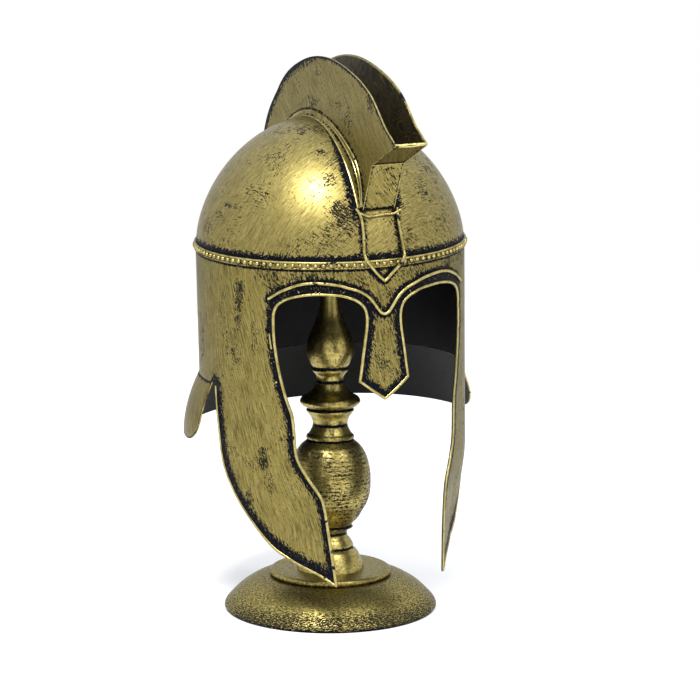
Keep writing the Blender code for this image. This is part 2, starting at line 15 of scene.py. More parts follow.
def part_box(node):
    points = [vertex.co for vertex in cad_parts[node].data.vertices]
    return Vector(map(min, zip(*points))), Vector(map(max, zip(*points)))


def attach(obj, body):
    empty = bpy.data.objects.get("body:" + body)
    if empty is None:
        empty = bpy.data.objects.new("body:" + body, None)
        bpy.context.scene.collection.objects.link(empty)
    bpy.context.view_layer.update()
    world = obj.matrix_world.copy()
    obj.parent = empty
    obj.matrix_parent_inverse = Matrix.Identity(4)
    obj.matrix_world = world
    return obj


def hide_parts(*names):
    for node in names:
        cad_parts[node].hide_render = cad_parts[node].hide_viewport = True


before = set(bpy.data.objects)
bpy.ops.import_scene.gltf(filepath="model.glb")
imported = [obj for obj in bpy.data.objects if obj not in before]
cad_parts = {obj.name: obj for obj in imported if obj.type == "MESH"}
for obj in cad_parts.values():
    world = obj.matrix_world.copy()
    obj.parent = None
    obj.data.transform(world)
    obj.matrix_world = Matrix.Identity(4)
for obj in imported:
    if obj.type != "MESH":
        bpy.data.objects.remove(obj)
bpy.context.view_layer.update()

MM = 0.001
SHEET = 1.2 * MM
WIRE = 1.2 * MM

# Placement of the helmet on the stand
BAND_HEIGHT = 299.0 * MM
NOSE_DOWN = radians(3.3)
LEAN = radians(2.3)
SEAT = Matrix.Translation((0, 0, BAND_HEIGHT)) @ (
    Matrix.Rotation(-LEAN, 4, "Y") @ Matrix.Rotation(NOSE_DOWN, 4, "X")
)

# Dome and band
DOME_RADIUS = 105.4 * MM
DOME_HEIGHT = 97.0 * MM
DOME_CROWN = 2.13
DOME_SHOULDER = 1.65
DOME_SEGMENTS = 300
DOME_RINGS = 84
BAND_DEPTH = 6.1 * MM
BAND_FACE = 107.3 * MM  # radius over the rails
STUD_PEAK = 108.35 * MM
STUD_COUNT = 115
STUD_WIDTH = 3.5 * MM

# Wall
WALL_RADIUS = 106.0 * MM
WALL_CELL = 2.2 * MM
TANGENT_ANGLE = radians(50.0)
ROLLED_NASAL = 1.25
FLAT_DEPTH = 1.4
SKIRT_DROP = 104.0 * MM
SKIRT_DROP_BACK = 110.5 * MM
NASAL_HALF_WIDTH = 20.0 * MM
NASAL_DROP = 107.6 * MM
EYE_REACH = 86.5 * MM
EYE_TOP = 25.0 * MM
EYE_CORNER = 25.0 * MM
CHEEK_REACH = 150.5 * MM
CHEEK_DROP = 249.0 * MM
CHEEK_CURL = 6.5 * MM
CURL_START = 0.66
CURL_END = 0.90
CURL_WIDTH = 45.0 * MM
BROW_REACH = 89.5 * MM
BROW_DIP = 41.7 * MM

# Rows of an edge: along the wall and down from the band's top, as shares of the sizes named where the
# table is used. A third value marks a corner, where the curve through the rows breaks.
NASAL_EDGE = [
    (0.0, 1.0, 1), (0.52, 0.93), (1.0, 0.86, 1), (0.93, 0.78), (0.85, 0.67), (0.77, 0.57),
    (0.7, 0.475), (0.69, 0.4),
]
EYE_EDGE = [
    (0.178, 0.46), (0.219, 0.29), (0.292, 0.145), (0.384, 0.05), (0.49, 0.01), (0.624, 0.0),
    (0.763, 0.06), (0.867, 0.16), (0.931, 0.28), (0.971, 0.42), (0.993, 0.6), (1.0, 1.0),
]
CHEEK_FRONT = [
    (0.994, 0.25), (0.982, 0.282), (0.963, 0.325), (0.935, 0.368), (0.902, 0.41), (0.868, 0.444),
    (0.838, 0.47), (0.823, 0.498), (0.816, 0.53), (0.811, 0.566), (0.798, 0.602), (0.76, 0.632),
    (0.694, 0.665), (0.613, 0.701), (0.556, 0.728), (0.532, 0.755), (0.514, 0.791), (0.495, 0.84),
    (0.466, 0.904), (0.442, 0.956),
]
CHEEK_TIP = (0.243, 1.0, 1)
CHEEK_REAR = [
    (0.337, 0.978), (0.417, 0.965), (0.496, 0.952), (0.574, 0.933), (0.642, 0.908), (0.702, 0.877),
    (0.761, 0.841), (0.815, 0.803), (0.864, 0.76), (0.902, 0.717), (0.934, 0.674), (0.957, 0.628),
    (0.972, 0.566), (0.987, 0.503), (0.994, 0.455), (0.996, 0.425, 1),
]
BROW_EDGE = [
    (0.0, 1.0), (0.032, 0.972), (0.065, 0.882), (0.106, 0.755), (0.156, 0.642), (0.223, 0.552),
    (0.302, 0.492), (0.385, 0.436), (0.469, 0.405), (0.559, 0.388), (0.637, 0.391), (0.721, 0.42),
    (0.804, 0.48), (0.899, 0.571), (1.0, 0.707),
]

# Neck guard
GUARD_START = radians(84.5)
GUARD_FLARE = 13.9 * MM
GUARD_FLARE_SHAPE = 1.8
GUARD_DEPTH = 48.3 * MM
GUARD_LOBE = radians(13.0)
GUARD_FRONT_SHARE = 0.6
GUARD_COLUMNS = 220
GUARD_ROWS = 28

# Crest
CREST_HALF_WIDTH = 12.8 * MM
CREST_LIP = 158.0 * MM
CREST_PEAK = 144.6 * MM
CREST_TAIL = 114.0 * MM
CREST_CELL = 2.0 * MM
CREST_HEM = 0.75 * MM  # radius of the plates' rolled edge
CREST_TRIM = 0.15 * MM  # the smooth top edge rises between the solid's chords by this much
FOOT_FORWARD = 97.0 * MM
FOOT_HEIGHT = 36.2 * MM
FOLD_FORWARD = 115.6 * MM
FOLD_HEIGHT = 72.7 * MM
LIP_HEIGHT = 92.0 * MM
CREST_EDGE_FRONT = [
    (0.946, 0.098), (0.894, 0.184), (0.838, 0.318), (0.781, 0.467), (0.718, 0.607), (0.603, 0.764),
    (0.482, 0.871), (0.361, 0.948), (0.247, 0.992), (0.158, 1.0), (0.06, 0.986),
]
CREST_EDGE_BACK = [
    (0.066, 0.977), (0.215, 0.947), (0.368, 0.905), (0.486, 0.861), (0.586, 0.809), (0.668, 0.753),
    (0.745, 0.702), (0.822, 0.645), (0.903, 0.565), (0.96, 0.48), (0.995, 0.39), (1.0, 0.3),
    (0.98, 0.21), (0.935, 0.12),
]
STRIP_OUT = 2.4 * MM
STRIP_UP = 13.5 * MM
STRIP_FRONT = radians(68.0)
STRIP_SWEEP = 1.98  # from its front end back over the dome, in shares of STRIP_FRONT
STRIP_ROWS = 9
STRIP_BEADS = {0: 0.70 * MM, 6: 0.50 * MM, STRIP_ROWS: 0.60 * MM}  # radius of the bead along each row
PUNCH_ROWS = [
    # seed, bead that the marks follow, mm up from it, mm between marks, least chance, size
    (9, STRIP_ROWS, 2.0, 3.6, -0.45, 1.0),
    (3, 6, -2.2, 4.7, -1.1, 0.9),
]
STRIP_SHAPE = [
    (1.0, 0.3), (0.96, 0.42), (0.91, 0.68), (0.85, 0.88), (0.79, 0.98), (0.73, 1.0), (0.65, 0.86),
    (0.56, 0.7), (0.48, 0.58), (0.38, 0.46), (0.28, 0.38), (0.18, 0.32), (0.08, 0.3), (-0.04, 0.28),
    (-0.18, 0.26), (-0.34, 0.26), (-0.5, 0.26), (-0.66, 0.26), (-0.82, 0.26), (-0.96, 0.24),
]

# Pointed wire frame under the crest
TONGUE_HALF_WIDTH = 16.1 * MM
TONGUE_DROP = 16.4 * MM
TONGUE_LEAN = 0.55
TONGUE_SIDE = [
    (0.93, 0.96), (0.91, 0.78), (0.93, 0.56), (0.97, 0.34), (1.0, 0.13), (1.0, 0.04),
]
TONGUE_POINT = [
    (0.88, 0.05), (0.69, 0.3), (0.41, 0.62), (0.13, 0.89), (0.0, 1.0),
]
# The bar across its top: across as a share of the top's half width, and mm above the top
TONGUE_BAR = [
    (-1.06, 1.3), (-0.9, 0.3), (-0.7, -1.3), (-0.3, -1.5),
    (0.25, -1.0), (0.8, -0.9), (0.98, 0.2), (1.16, 1.2),
]

# Stand
BASE_RADIUS = 85.3 * MM
BASE_HEIGHT = 32.0 * MM
BULB_RADIUS = 32.5 * MM
VASE_TOP = 249.0 * MM
ROD_RADIUS = 7.2 * MM
BASE_GROOVE = (0.552, 0.825)  # the row of the profile under the step ring
BASE_PROFILE = [
    (0.985, 0.0), (1.0, 0.06), (0.994, 0.13), (0.95, 0.27), (0.863, 0.497), (0.777, 0.652),
    (0.69, 0.77), (0.6, 0.83), BASE_GROOVE, (0.57, 0.87), (0.57, 0.94), (0.55, 0.985),
    (0.52, 0.985), (0.4, 0.985),
]
BULB_WIDEST = 0.335  # the row of the profile where the bulb is widest
STEM_PROFILE = [
    (0.83, 0.0), (0.8, 0.018), (0.725, 0.046), (0.64, 0.067), (0.565, 0.076), (0.545, 0.08),
    (0.565, 0.085), (0.54, 0.096), (0.49, 0.109), (0.437, 0.118), (0.406, 0.133), (0.46, 0.148),
    (0.56, 0.155), (0.525, 0.161), (0.563, 0.172), (0.686, 0.191), (0.79, 0.217), (0.908, 0.248),
    (0.982, 0.286), (1.0, BULB_WIDEST), (0.98, 0.375), (0.9, 0.42), (0.75, 0.459), (0.59, 0.48),
    (0.56, 0.484), (0.59, 0.49), (0.58, 0.5), (0.538, 0.505), (0.5, 0.514), (0.428, 0.54),
    (0.47, 0.566), (0.59, 0.594), (0.56, 0.6), (0.68, 0.612), (0.745, 0.625), (0.7, 0.64),
    (0.56, 0.652), (0.43, 0.67), (0.345, 0.7), (0.35, 0.722), (0.445, 0.742), (0.43, 0.752),
    (0.5, 0.77), (0.588, 0.812), (0.56, 0.85), (0.42, 0.9), (0.3, 0.945), (0.235, 1.0),
]

UV_UNIT = 0.1  # one unit of the pieces' UV map is 100 mm

# A wire end lying beside the left rim, along and drop in mm
SPARE_END = [(89.6, 56.0), (89.3, 59.5), (88.8, 63.5), (88.0, 68.0)]
SOLDER_DOTS = [  # beside the left rim: along, drop and radius in mm
    (65.2, 23.2, 0.75), (52.4, 23.0, 0.7), (49.6, 23.2, 0.6), (31.6, 23.4, 0.6), (84.4, 93.5, 0.95),
]

# Where the gold is worn thin, in mm: the centre, the reach across, the reach up or down, and how much.
# On the dome the centre is a point; on the wall it is along from the nose and down from the band's top.
DOME_WORN = [
    (-20, -88, 46, 4.5, 14, 0.85), (-19, -76, 60, 3.5, 10, 0.85), (-21, -97, 28, 6, 12, 0.8),
    (-24, -66, 68, 7, 6, 0.55), (-91, -26, 35.5, 9, 1.8, 1.1), (-97, -17, 28, 8, 2.4, 0.7),
    (-102, -2, 18, 9, 5, 0.6), (-79, -41, 47, 10, 7, 0.6), (-76, -52, 42, 8, 8, 0.58),
    (-62, -35, 68, 11, 8, 0.48), (-29, -91, 36, 6, 9, 0.95), (-29, -76, 58, 5, 9, 0.85),
    (-32, -57, 74, 6, 7, 0.65), (-23, -97, 28, 7, 8, 0.7), (-31, -96, 22, 14, 8, 0.5),
    (-46, -92, 15, 16, 6, 0.48), (-64, -82, 11, 14, 6, 0.5), (-47, 3, 86, 18, 4, 0.4),
    (-28, -28, 90, 10, 4, 0.55), (47, -77, 44, 7, 16, 0.62), (56, -86, 18, 8, 11, 0.5),
    (25, -101, 12, 7, 9, 0.75), (52, -59, 61, 8, 9, 0.5), (92, 20, 40, 12, 9, 0.5),
    (40, 85, 30, 16, 8, 0.55), (-55, 78, 35, 14, 10, 0.5),
]
WALL_WORN = [
    (-118, 25, 5, 8, 1), (-119, 44, 4.5, 18, 0.85), (-121.5, 66, 5.5, 14, 0.62),
    (-134, 52, 5, 26, 0.55), (-92, 11, 9, 7, 0.85), (-86, 17, 8, 8, 0.9), (-104, 60, 3, 16, 0.5),
    (-98, 155, 4.4, 9, 1), (-94, 173, 5, 9, 0.75), (-70, 150, 9, 9, 0.62), (-108, 128, 5, 14, 0.5),
    (-114, 196, 5, 16, 0.75), (-69, 234, 14, 5, 0.62), (-58, 205, 8, 12, 0.5), (0, 62, 12, 34, 0.58),
    (0, 30, 14, 8, 0.75), (-55, 13, 26, 5, 0.9), (-26, 16, 15, 8, 0.72), (24, 16, 13, 7, 0.55),
    (55, 13, 26, 5, 0.55), (92, 14, 10, 9, 0.6), (116, 48, 5, 22, 0.6), (104, 140, 6, 14, 0.65),
    (84, 190, 6, 10, 0.45), (178, 60, 7, 20, 0.6), (-178, 70, 8, 18, 0.5), (250, 40, 10, 14, 0.55),
    (-262, 50, 12, 16, 0.55), (320, 72, 14, 12, 0.5),
]
CREST_WORN = [  # on the side plates: back from the middle, height
    (0, 108, 14, 5, 0.9), (24, 103, 10, 5, 0.6), (-49, 110, 12, 4, 0.55), (-71, 102, 8, 12, 0.45),
    (-112, 116, 6, 10, 0.7), (-10, 136, 30, 6, 0.55), (-92, 74, 9, 12, 0.4), (38, 116, 12, 8, 0.45),
]
PLATE_WORN = [  # on the front plate: across, height
    (-1.5, 68, 9, 3, 0.8), (4, 61.5, 8, 2.2, 0.75), (7, 54.5, 6, 3.6, 0.8), (-2, 48, 9, 2.6, 0.75),
    (3, 40.5, 7, 2, 0.55),
]

# How far the black reaches
SOOT_OVER_BAND = 8.6 * MM
SOOT_UNDER_BAND = 3.6 * MM
SOOT_BY_STRIP = 2.6 * MM
SOOT_BY_STRIP_AHEAD = 9.0 * MM  # and so much more at its front end
SOOT_BY_TONGUE = 7.0 * MM
SOOT_BY_REAR_RIM = 17.0 * MM
SOOT_BY_FORE_RIM = 11.6 * MM
SOOT_BY_BROW = 7.6 * MM
SOOT_BY_CREST_RIM = 4.0 * MM
SOOT_BY_CREST_TAIL = 6.5 * MM  # and so much more towards the tail
SOOT_OVER_DOME = 4.0 * MM


# Curves through the tables


def smooth_run(points, step):
    """A centripetal curve through points, with a point about every step."""
    first, last = points[0], points[-1]
    held = [2 * first - points[1], *points, 2 * last - points[-2]]
    curve = [first]
    for a, b, c, d in zip(held, held[1:], held[2:], held[3:]):
        ta = 0.0
        tb = ta + (b - a).length ** 0.5
        tc = tb + (c - b).length ** 0.5
        td = tc + (d - c).length ** 0.5
        count = max(1, round((c - b).length / step))
        for index in range(1, count + 1):
            t = tb + (tc - tb) * index / count
            ab = a.lerp(b, (t - ta) / (tb - ta))
            bc = b.lerp(c, (t - tb) / (tc - tb))
            cd = c.lerp(d, (t - tc) / (td - tc))
            abc = ab.lerp(bc, (t - ta) / (tc - ta))
            bcd = bc.lerp(cd, (t - tb) / (td - tb))
            curve.append(abc.lerp(bcd, (t - tb) / (tc - tb)))
    return curve


def smooth_edge(rows, step):
    """Curves through rows of (along, drop), broken where a third value marks a corner."""
    curve, run = [], []
    for index, (along, drop, *corner) in enumerate(rows):
        run.append(Vector((along, drop)))
        if (corner and len(run) > 1) or index == len(rows) - 1:
            curve += smooth_run(run, step)[1 if curve else 0 :]
            run = [run[-1]]
    return curve


def smoothstep(value):
    value = min(max(value, 0.0), 1.0)
    return value * value * (3 - 2 * value)


# The wall's flat pattern and how it rolls


def cheek_share(reach, drop):
    if reach < ROLLED_NASAL * NASAL_HALF_WIDTH:
        return 0.0
    return smoothstep((drop - EYE_TOP) / (FLAT_DEPTH * EYE_CORNER))


def cheek_curl(reach, drop):
    down = min(max((drop / CHEEK_DROP - CURL_START) / (CURL_END - CURL_START), 0.0), 1.0)
    across = min(max((reach - CHEEK_TIP[0] * CHEEK_REACH) / CURL_WIDTH, 0.0), 1.0)
    return CHEEK_CURL * down * down * (3 - 2 * down) * across


def on_wall(along, drop, lift=0.0):
    """Rolls a point of the flat wall; along runs round from the nose, lift is out from the outer face."""
    side = 1 if along >= 0 else -1
    reach = abs(along)
    turn = reach / WALL_RADIUS
    radius = WALL_RADIUS + lift - cheek_curl(reach, drop)
    rolled = Vector((radius * sin(turn), -radius * cos(turn)))
    share = cheek_share(reach, drop)
    if turn < TANGENT_ANGLE and share > 0:
        ahead = WALL_RADIUS * TANGENT_ANGLE - reach
        start = Vector((radius * sin(TANGENT_ANGLE), -radius * cos(TANGENT_ANGLE)))
        flat = start - ahead * Vector((cos(TANGENT_ANGLE), sin(TANGENT_ANGLE)))
        rolled = rolled.lerp(flat, share)
    return Vector((side * rolled.x, rolled.y, -drop))


def rim_rows():
    def sized(rows, along, drop, top=0.0):
        return [(a * along, top + d * drop, *corner) for a, d, *corner in rows]

    nasal = sized(NASAL_EDGE, NASAL_HALF_WIDTH, NASAL_DROP)
    eye = sized(EYE_EDGE, EYE_REACH, EYE_CORNER, EYE_TOP)
    front = sized(CHEEK_FRONT, EYE_REACH, CHEEK_DROP)
    return nasal + eye + front + sized([CHEEK_TIP] + CHEEK_REAR, CHEEK_REACH, CHEEK_DROP)


def brow_line(step):
    half = [Vector((a * BROW_REACH, d * BROW_DIP)) for a, d in BROW_EDGE]
    run = smooth_run(half, step)
    return [Vector((-p.x, p.y)) for p in run[:0:-1]] + run


def dome_profile():
    points = []
    for step in range(DOME_RINGS):
        turn = step / DOME_RINGS * pi / 2
        across = DOME_RADIUS * cos(turn) ** (2 / DOME_CROWN)
        points.append((across, DOME_HEIGHT * sin(turn) ** (2 / DOME_SHOULDER)))
    return points + [(0.0, DOME_HEIGHT)]


def dome_radius_at(height):
    share = min(max(height, 0.0) / DOME_HEIGHT, 1.0)
    return DOME_RADIUS * (1 - share**DOME_SHOULDER) ** (1 / DOME_CROWN)


def dome_height_at(radius):
    share = min(radius / DOME_RADIUS, 1.0)
    return DOME_HEIGHT * (1 - share**DOME_CROWN) ** (1 / DOME_SHOULDER)


def dome_reach(across, angle):
    """From the band's middle to the dome's face, at an angle from upright, in the plane that far across."""
    near, far = 0.0, 2 * DOME_RADIUS
    for _ in range(30):
        middle = (near + far) / 2
        reach = hypot(across, middle * sin(angle))
        inside = reach < DOME_RADIUS and middle * cos(angle) < dome_height_at(reach)
        near, far = (middle, far) if inside else (near, middle)
    return near


# Making and finishing pieces


def finish_piece(name, bm, finishes, node, seated=True, sharp=38.0):
    """Seats a bmesh on the stand, gives it its finishes and lets it stand for its CAD node."""
    if seated:
        bm.transform(SEAT)
    mesh = bpy.data.meshes.new(name)
    bm.to_mesh(mesh)
    bm.free()
    for material in finishes:
        mesh.materials.append(material)
    mesh.shade_smooth()
    mesh.set_sharp_from_angle(angle=radians(sharp))
    piece = bpy.data.objects.new(name, mesh)
    bpy.context.scene.collection.objects.link(piece)
    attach(piece, "root")
    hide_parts(node)


def thicken(bm, thickness, outside):
    """Gives a sheet of faces its thickness inward. Material 0 stays outside, 1 is inside, 2 the cut edge."""
    mesh = bpy.data.meshes.new("sheet")
    bm.to_mesh(mesh)
    bm.free()
    sheet = bpy.data.objects.new("sheet", mesh)
    bpy.context.scene.collection.objects.link(sheet)
    for _ in range(3):
        mesh.materials.append(outside)
    solid = sheet.modifiers.new("thickness", "SOLIDIFY")
    solid.thickness = thickness
    solid.offset = -1
    solid.use_even_offset = True
    solid.material_offset = 1
    solid.material_offset_rim = 2
    deps = bpy.context.evaluated_depsgraph_get()
    made = bmesh.new()
    made.from_mesh(sheet.evaluated_get(deps).to_mesh())
    bpy.data.objects.remove(sheet, do_unlink=True)
    return made


def outward(bm, centre):
    """Turns a sheet's faces away from a point."""
    bmesh.ops.recalc_face_normals(bm, faces=bm.faces)
    votes = sum(1 if face.normal.dot(face.calc_center_median() - centre) > 0 else -1 for face in bm.faces)
    if votes < 0:
        bmesh.ops.reverse_faces(bm, faces=bm.faces)


def spun(profile, segments, closed):
    """A bmesh turned about +Z from a profile of (radius, height)."""
    bm = bmesh.new()
    points = [bm.verts.new((radius, 0, height)) for radius, height in profile]
    pairs = list(zip(points, points[1:]))
    if closed:
        pairs.append((points[-1], points[0]))
    edges = [bm.edges.new(pair) for pair in pairs]
    bmesh.ops.spin(
        bm, geom=points + edges, cent=(0, 0, 0), axis=(0, 0, 1), angle=2 * pi, steps=segments, use_merge=True
    )
    bmesh.ops.remove_doubles(bm, verts=bm.verts, dist=0.005 * MM)
    bmesh.ops.recalc_face_normals(bm, faces=bm.faces)
    return bm


def lay_flat(bm, place):
    """The flat map: place gives the two lengths along the sheet of a face's corner."""
    layer = bm.loops.layers.uv.new("flat")
    for face in bm.faces:
        for loop in face.loops:
            along, up = place(face, loop.vert)
            loop[layer].uv = (along / UV_UNIT, up / UV_UNIT)


def wrap_flat(bm, radius):
    """The flat map of a turned piece: round it at a radius, and up and inward along its profile."""

    def place(face, vert):
        turns = [atan2(corner.co.x, -corner.co.y) for corner in face.verts]
        turn = atan2(vert.co.x, -vert.co.y)
        if max(turns) - turn > pi:
            turn += 2 * pi
        return turn * radius, vert.co.z - 0.6 * hypot(vert.co.x, vert.co.y)

    lay_flat(bm, place)


def cut_cells(bm, axis, pitch):
    """Cuts everything by planes across an axis, a pitch apart."""
    normal = Vector((0, 0, 0))
    normal[axis] = 1.0
    low = min(vert.co[axis] for vert in bm.verts)
    high = max(vert.co[axis] for vert in bm.verts)
    for step in range(int(low / pitch) - 1, int(high / pitch) + 2):
        if low < step * pitch < high:
            geom = bm.verts[:] + bm.edges[:] + bm.faces[:]
            place = normal * step * pitch
            bmesh.ops.bisect_plane(bm, geom=geom, plane_co=place, plane_no=normal, dist=0.02 * MM)


def near_lines(lines):
    """A tree of points for finding how far a place is from the nearest of the lines."""
    points = [point for line in lines for point in line]
    tree = KDTree(len(points))
    for index, point in enumerate(points):
        tree.insert((*point, 0.0) if len(point) == 2 else point, index)
    tree.balance()
    return tree


def tube(points, radius, sides):
    """A round wire swept along points, closed at its ends."""
    curve = bpy.data.curves.new("wire", "CURVE")
    curve.dimensions = "3D"
    curve.bevel_depth = radius
    curve.bevel_resolution = sides // 4
    curve.use_fill_caps = True
    spline = curve.splines.new("POLY")
    spline.points.add(len(points) - 1)
    for slot, point in zip(spline.points, points):
        slot.co = (*point, 1.0)
    swept = bpy.data.objects.new("wire", curve)
    bpy.context.scene.collection.objects.link(swept)
    bm = bmesh.new()
    bm.from_mesh(swept.evaluated_get(bpy.context.evaluated_depsgraph_get()).to_mesh())
    bpy.data.objects.remove(swept, do_unlink=True)
    bmesh.ops.remove_doubles(bm, verts=bm.verts, dist=0.001 * MM)
    bmesh.ops.recalc_face_normals(bm, faces=bm.faces)
    return bm


def join(bm, other, material=0):
    """Adds another bmesh to this one, in one of its materials unless its faces have their own."""
    if material:
        for face in other.faces:
            face.material_index = material
    mesh = bpy.data.meshes.new("joined")
    other.to_mesh(mesh)
    other.free()
    bm.from_mesh(mesh)
    bpy.data.meshes.remove(mesh)


# Finishes


class Value:
    """A node's output in a finish; sums, differences and products of values add Math nodes."""

    def __init__(self, finish, socket):
        self.finish = finish
        self.socket = socket

    def __add__(self, other):
        return self.finish.math("ADD", self, other)

    def __sub__(self, other):
        return self.finish.math("SUBTRACT", self, other)

    def __rsub__(self, other):
        return self.finish.math("SUBTRACT", other, self)

    def __mul__(self, other):
        return self.finish.math("MULTIPLY", self, other)


class Finish:
    """A procedural finish being mixed; each method adds a node and gives its output."""

    def __init__(self, name):
        self.material = bpy.data.materials.new(name)
        self.material.use_nodes = True
        self.tree = self.material.node_tree
        self.shader = self.tree.nodes["Principled BSDF"]

    def add(self, kind, inputs, out=0, **settings):
        node = self.tree.nodes.new("ShaderNode" + kind)
        for key, value in settings.items():
            setattr(node, key, value)
        for key, value in inputs.items():
            self.feed(node.inputs[key], value)
        return Value(self, node.outputs[out])

    def feed(self, socket, value):
        if isinstance(value, Value):
            self.tree.links.new(value.socket, socket)
        else:
            socket.default_value = value

    def paint(self, **sockets):
        for key, value in sockets.items():
            self.feed(self.shader.inputs[key.replace("_", " ").title().replace("Ior", "IOR")], value)
        return self.material

    def math(self, operation, *values):
        return self.add("Math", dict(enumerate(values)), operation=operation)

    def flat(self):
        return self.add("UVMap", {}, uv_map="flat")

    def space(self):
        return self.add("TexCoord", {}, out="Object")

    def laid(self, where, cell, turn=(0.0, 0.0, 0.0)):
        """Lays a pattern with cells of this size, along the axes that turn gives."""
        if isinstance(cell, float):
            cell = (cell, cell, cell)
        inputs = {"Vector": where, "Scale": cell, "Rotation": turn}
        return self.add("Mapping", inputs, vector_type="TEXTURE")

    def wander(self, where, size, reach):
        """Bends the grain: shifts places by up to reach, over patches of this size."""
        drift = self.add("TexNoise", {"Vector": self.laid(where, size), "Scale": 1.0, "Detail": 1.0}, out=1)
        centred = self.add("VectorMath", {0: drift, 1: (0.5, 0.5, 0.5)}, operation="SUBTRACT")
        inputs = {0: centred, 1: (reach, reach, reach), 2: where}
        return self.add("VectorMath", inputs, operation="MULTIPLY_ADD")

    def grain(self, where, detail, roughness, distortion):
        inputs = {"Vector": where, "Scale": 1.0, "Detail": detail}
        return self.add("TexNoise", {**inputs, "Roughness": roughness, "Distortion": distortion})

    def spread(self, where, cell, turn=(0.0, 0.0, 0.0), detail=2.5, roughness=0.55, distortion=0.0):
        """Grain centred on 0 that stays mostly between -1 and 1."""
        return (self.grain(self.laid(where, cell, turn), detail, roughness, distortion) - 0.5) * 9.0

    def attribute(self, name):
        return self.add("Attribute", {}, out="Fac", attribute_name=name)

    def ramp(self, value, low, high):
        """0 below low, 1 above high and smooth between."""
        inputs = {"Value": value, "From Min": low, "From Max": high}
        return self.add("MapRange", inputs, interpolation_type="SMOOTHSTEP")

    def blend(self, share, one, two):
        return self.add("Mix", {"Factor": share, 6: one, 7: two}, out=2, data_type="RGBA")

    def bump(self, height, distance, strength):
        return self.add("Bump", {"Height": height, "Distance": distance, "Strength": strength})


GOLD = (0.264, 0.212, 0.058)
GOLD_DEEP = (0.116, 0.092, 0.023)
GOLD_LIGHT = (0.430, 0.368, 0.155)
WIRE_GOLD = (0.30, 0.245, 0.080, 1.0)
WIRE_GOLD_LIGHT = (0.49, 0.415, 0.165, 1.0)
PATINA = (0.0026, 0.0030, 0.0054, 1.0)
EDGE_SHEEN = (0.55, 0.57, 0.62, 1.0)  # how bright the gold mirrors at a grazing look


def leant(normal):
    """Turn that lays a pattern's thin axis along a direction."""
    return tuple(Vector(normal).to_track_quat("Z", "Y").to_euler())


def antique_gold(
    name, brush, hatch, dab, patch, black, on_flat=True, rough=0.40, ragged=0.12, contrast=1.0,
    lift=1.0, lacquer=0.32, bend=0.3, cloud=0.95,
):
    """Gold brushed over black.

    brush and hatch give the size and the turn of two ways of brushing, dab and patch the size of the specks
    and of the patches. Black shows between strokes, in worn places and in the corners, where soot is high.
    lift makes the gold lighter, lacquer is the weight of the clear coat over it, bend is how far the
    brushing wanders and cloud is how much the patches count.
    """
    shades = [(*(channel * lift for channel in shade), 1.0) for shade in (GOLD_DEEP, GOLD, GOLD_LIGHT)]
    deep, plain_gold, light = shades
    f = Finish(name)
    where = f.flat() if on_flat else f.space()
    if bend:
        where = f.wander(where, patch * 1.5, patch * bend)
    stroke = f.spread(where, *brush, 2.0, 0.6, 0.2)
    cross = f.spread(where, *hatch, 2.0, 0.6, 0.2)
    speck = f.spread(where, dab, detail=1.5)
    (long_x, long_y, thin), turn = brush
    sweep = f.spread(where, (long_x, long_y * 3.2, thin), turn, 2.0, 0.5, 0.3)
    patches = f.spread(where, patch, detail=3.0)
    area = f.spread(where, patch * 1.7, (0.4, 0.9, 1.3), 1.0)
    soot = f.attribute("soot")
    # Each area is brushed mostly one way
    way = f.ramp(area, -0.5, 0.5) * 0.65
    marks = (stroke * (1.0 - way) + cross * (way + 0.35)) * 1.25 + speck * 0.75
    # Black shows through where the gold is thin
    thin_gold = f.attribute("worn") * 2.8 + f.ramp(soot, 0.0, 0.5) * 0.28 + patches * cloud + black
    showing = f.ramp(thin_gold - marks, 0.0, 0.40)
    # and fills the corners, but for a few flecks
    flecks = f.ramp(marks - soot * 2.4, 0.1, 0.7) * 0.8
    corner = f.ramp(soot - marks * ragged, 0.43, 0.48) * (1.0 - flecks)
    dark = f.math("MAXIMUM", showing * 0.94, corner)
    strokes = sweep * 0.75 + marks * 0.30
    tone = f.ramp(strokes + patches * 0.40, -2.2 * contrast, 0.7 * contrast)
    gold = f.blend(f.ramp(strokes, 0.3, 1.6) * 0.45, f.blend(tone, deep, plain_gold), light)
    return f.paint(
        base_color=f.blend(dark, gold, PATINA),
        metallic=1.0 - dark * 0.97,
        roughness=dark * 0.14 + (rough + 0.03 - tone * 0.05),
        specular_ior_level=0.07,
        specular_tint=EDGE_SHEEN,
        coat_weight=(1.0 - dark) * lacquer,
        coat_roughness=0.26,
        normal=f.bump(strokes * 0.25 - dark, 0.00012, 0.5),
    )


def bright_wire(name):
    f = Finish(name)
    where = f.space()
    rub = f.spread(where, 0.006, detail=3.0)
    black = f.ramp(rub + f.spread(where, 0.020, detail=2.0) * 0.8, 1.5, 2.2)
    # The wire's sides darken: partly black left between wire and sheet, partly painted shade on the round
    # wire's flanks
    tucked_and_shaded = f.ramp(f.attribute("tuck_and_side_shade") + rub * 0.10, 0.50, 0.95)
    black = f.math("MAXIMUM", black, tucked_and_shaded * 0.88)
    gold = f.blend(f.ramp(rub, -1.4, 1.4), WIRE_GOLD, WIRE_GOLD_LIGHT)
    return f.paint(
        base_color=f.blend(black, gold, PATINA),
        metallic=1.0 - black * 0.95,
        roughness=rub * 0.03 + 0.30,
        specular_ior_level=0.18,
        specular_tint=EDGE_SHEEN,
        normal=f.bump(rub, 0.0001, 0.4),
    )


def patina_black(name):
    f = Finish(name)
    fine = f.ramp(f.spread(f.space(), 0.0012), -1.0, 1.0)
    return f.paint(
        base_color=f.blend(fine, (0.002, 0.002, 0.003, 1), (0.005, 0.005, 0.006, 1)),
        metallic=0.0,
        roughness=0.6,
        specular_ior_level=0.06,
    )


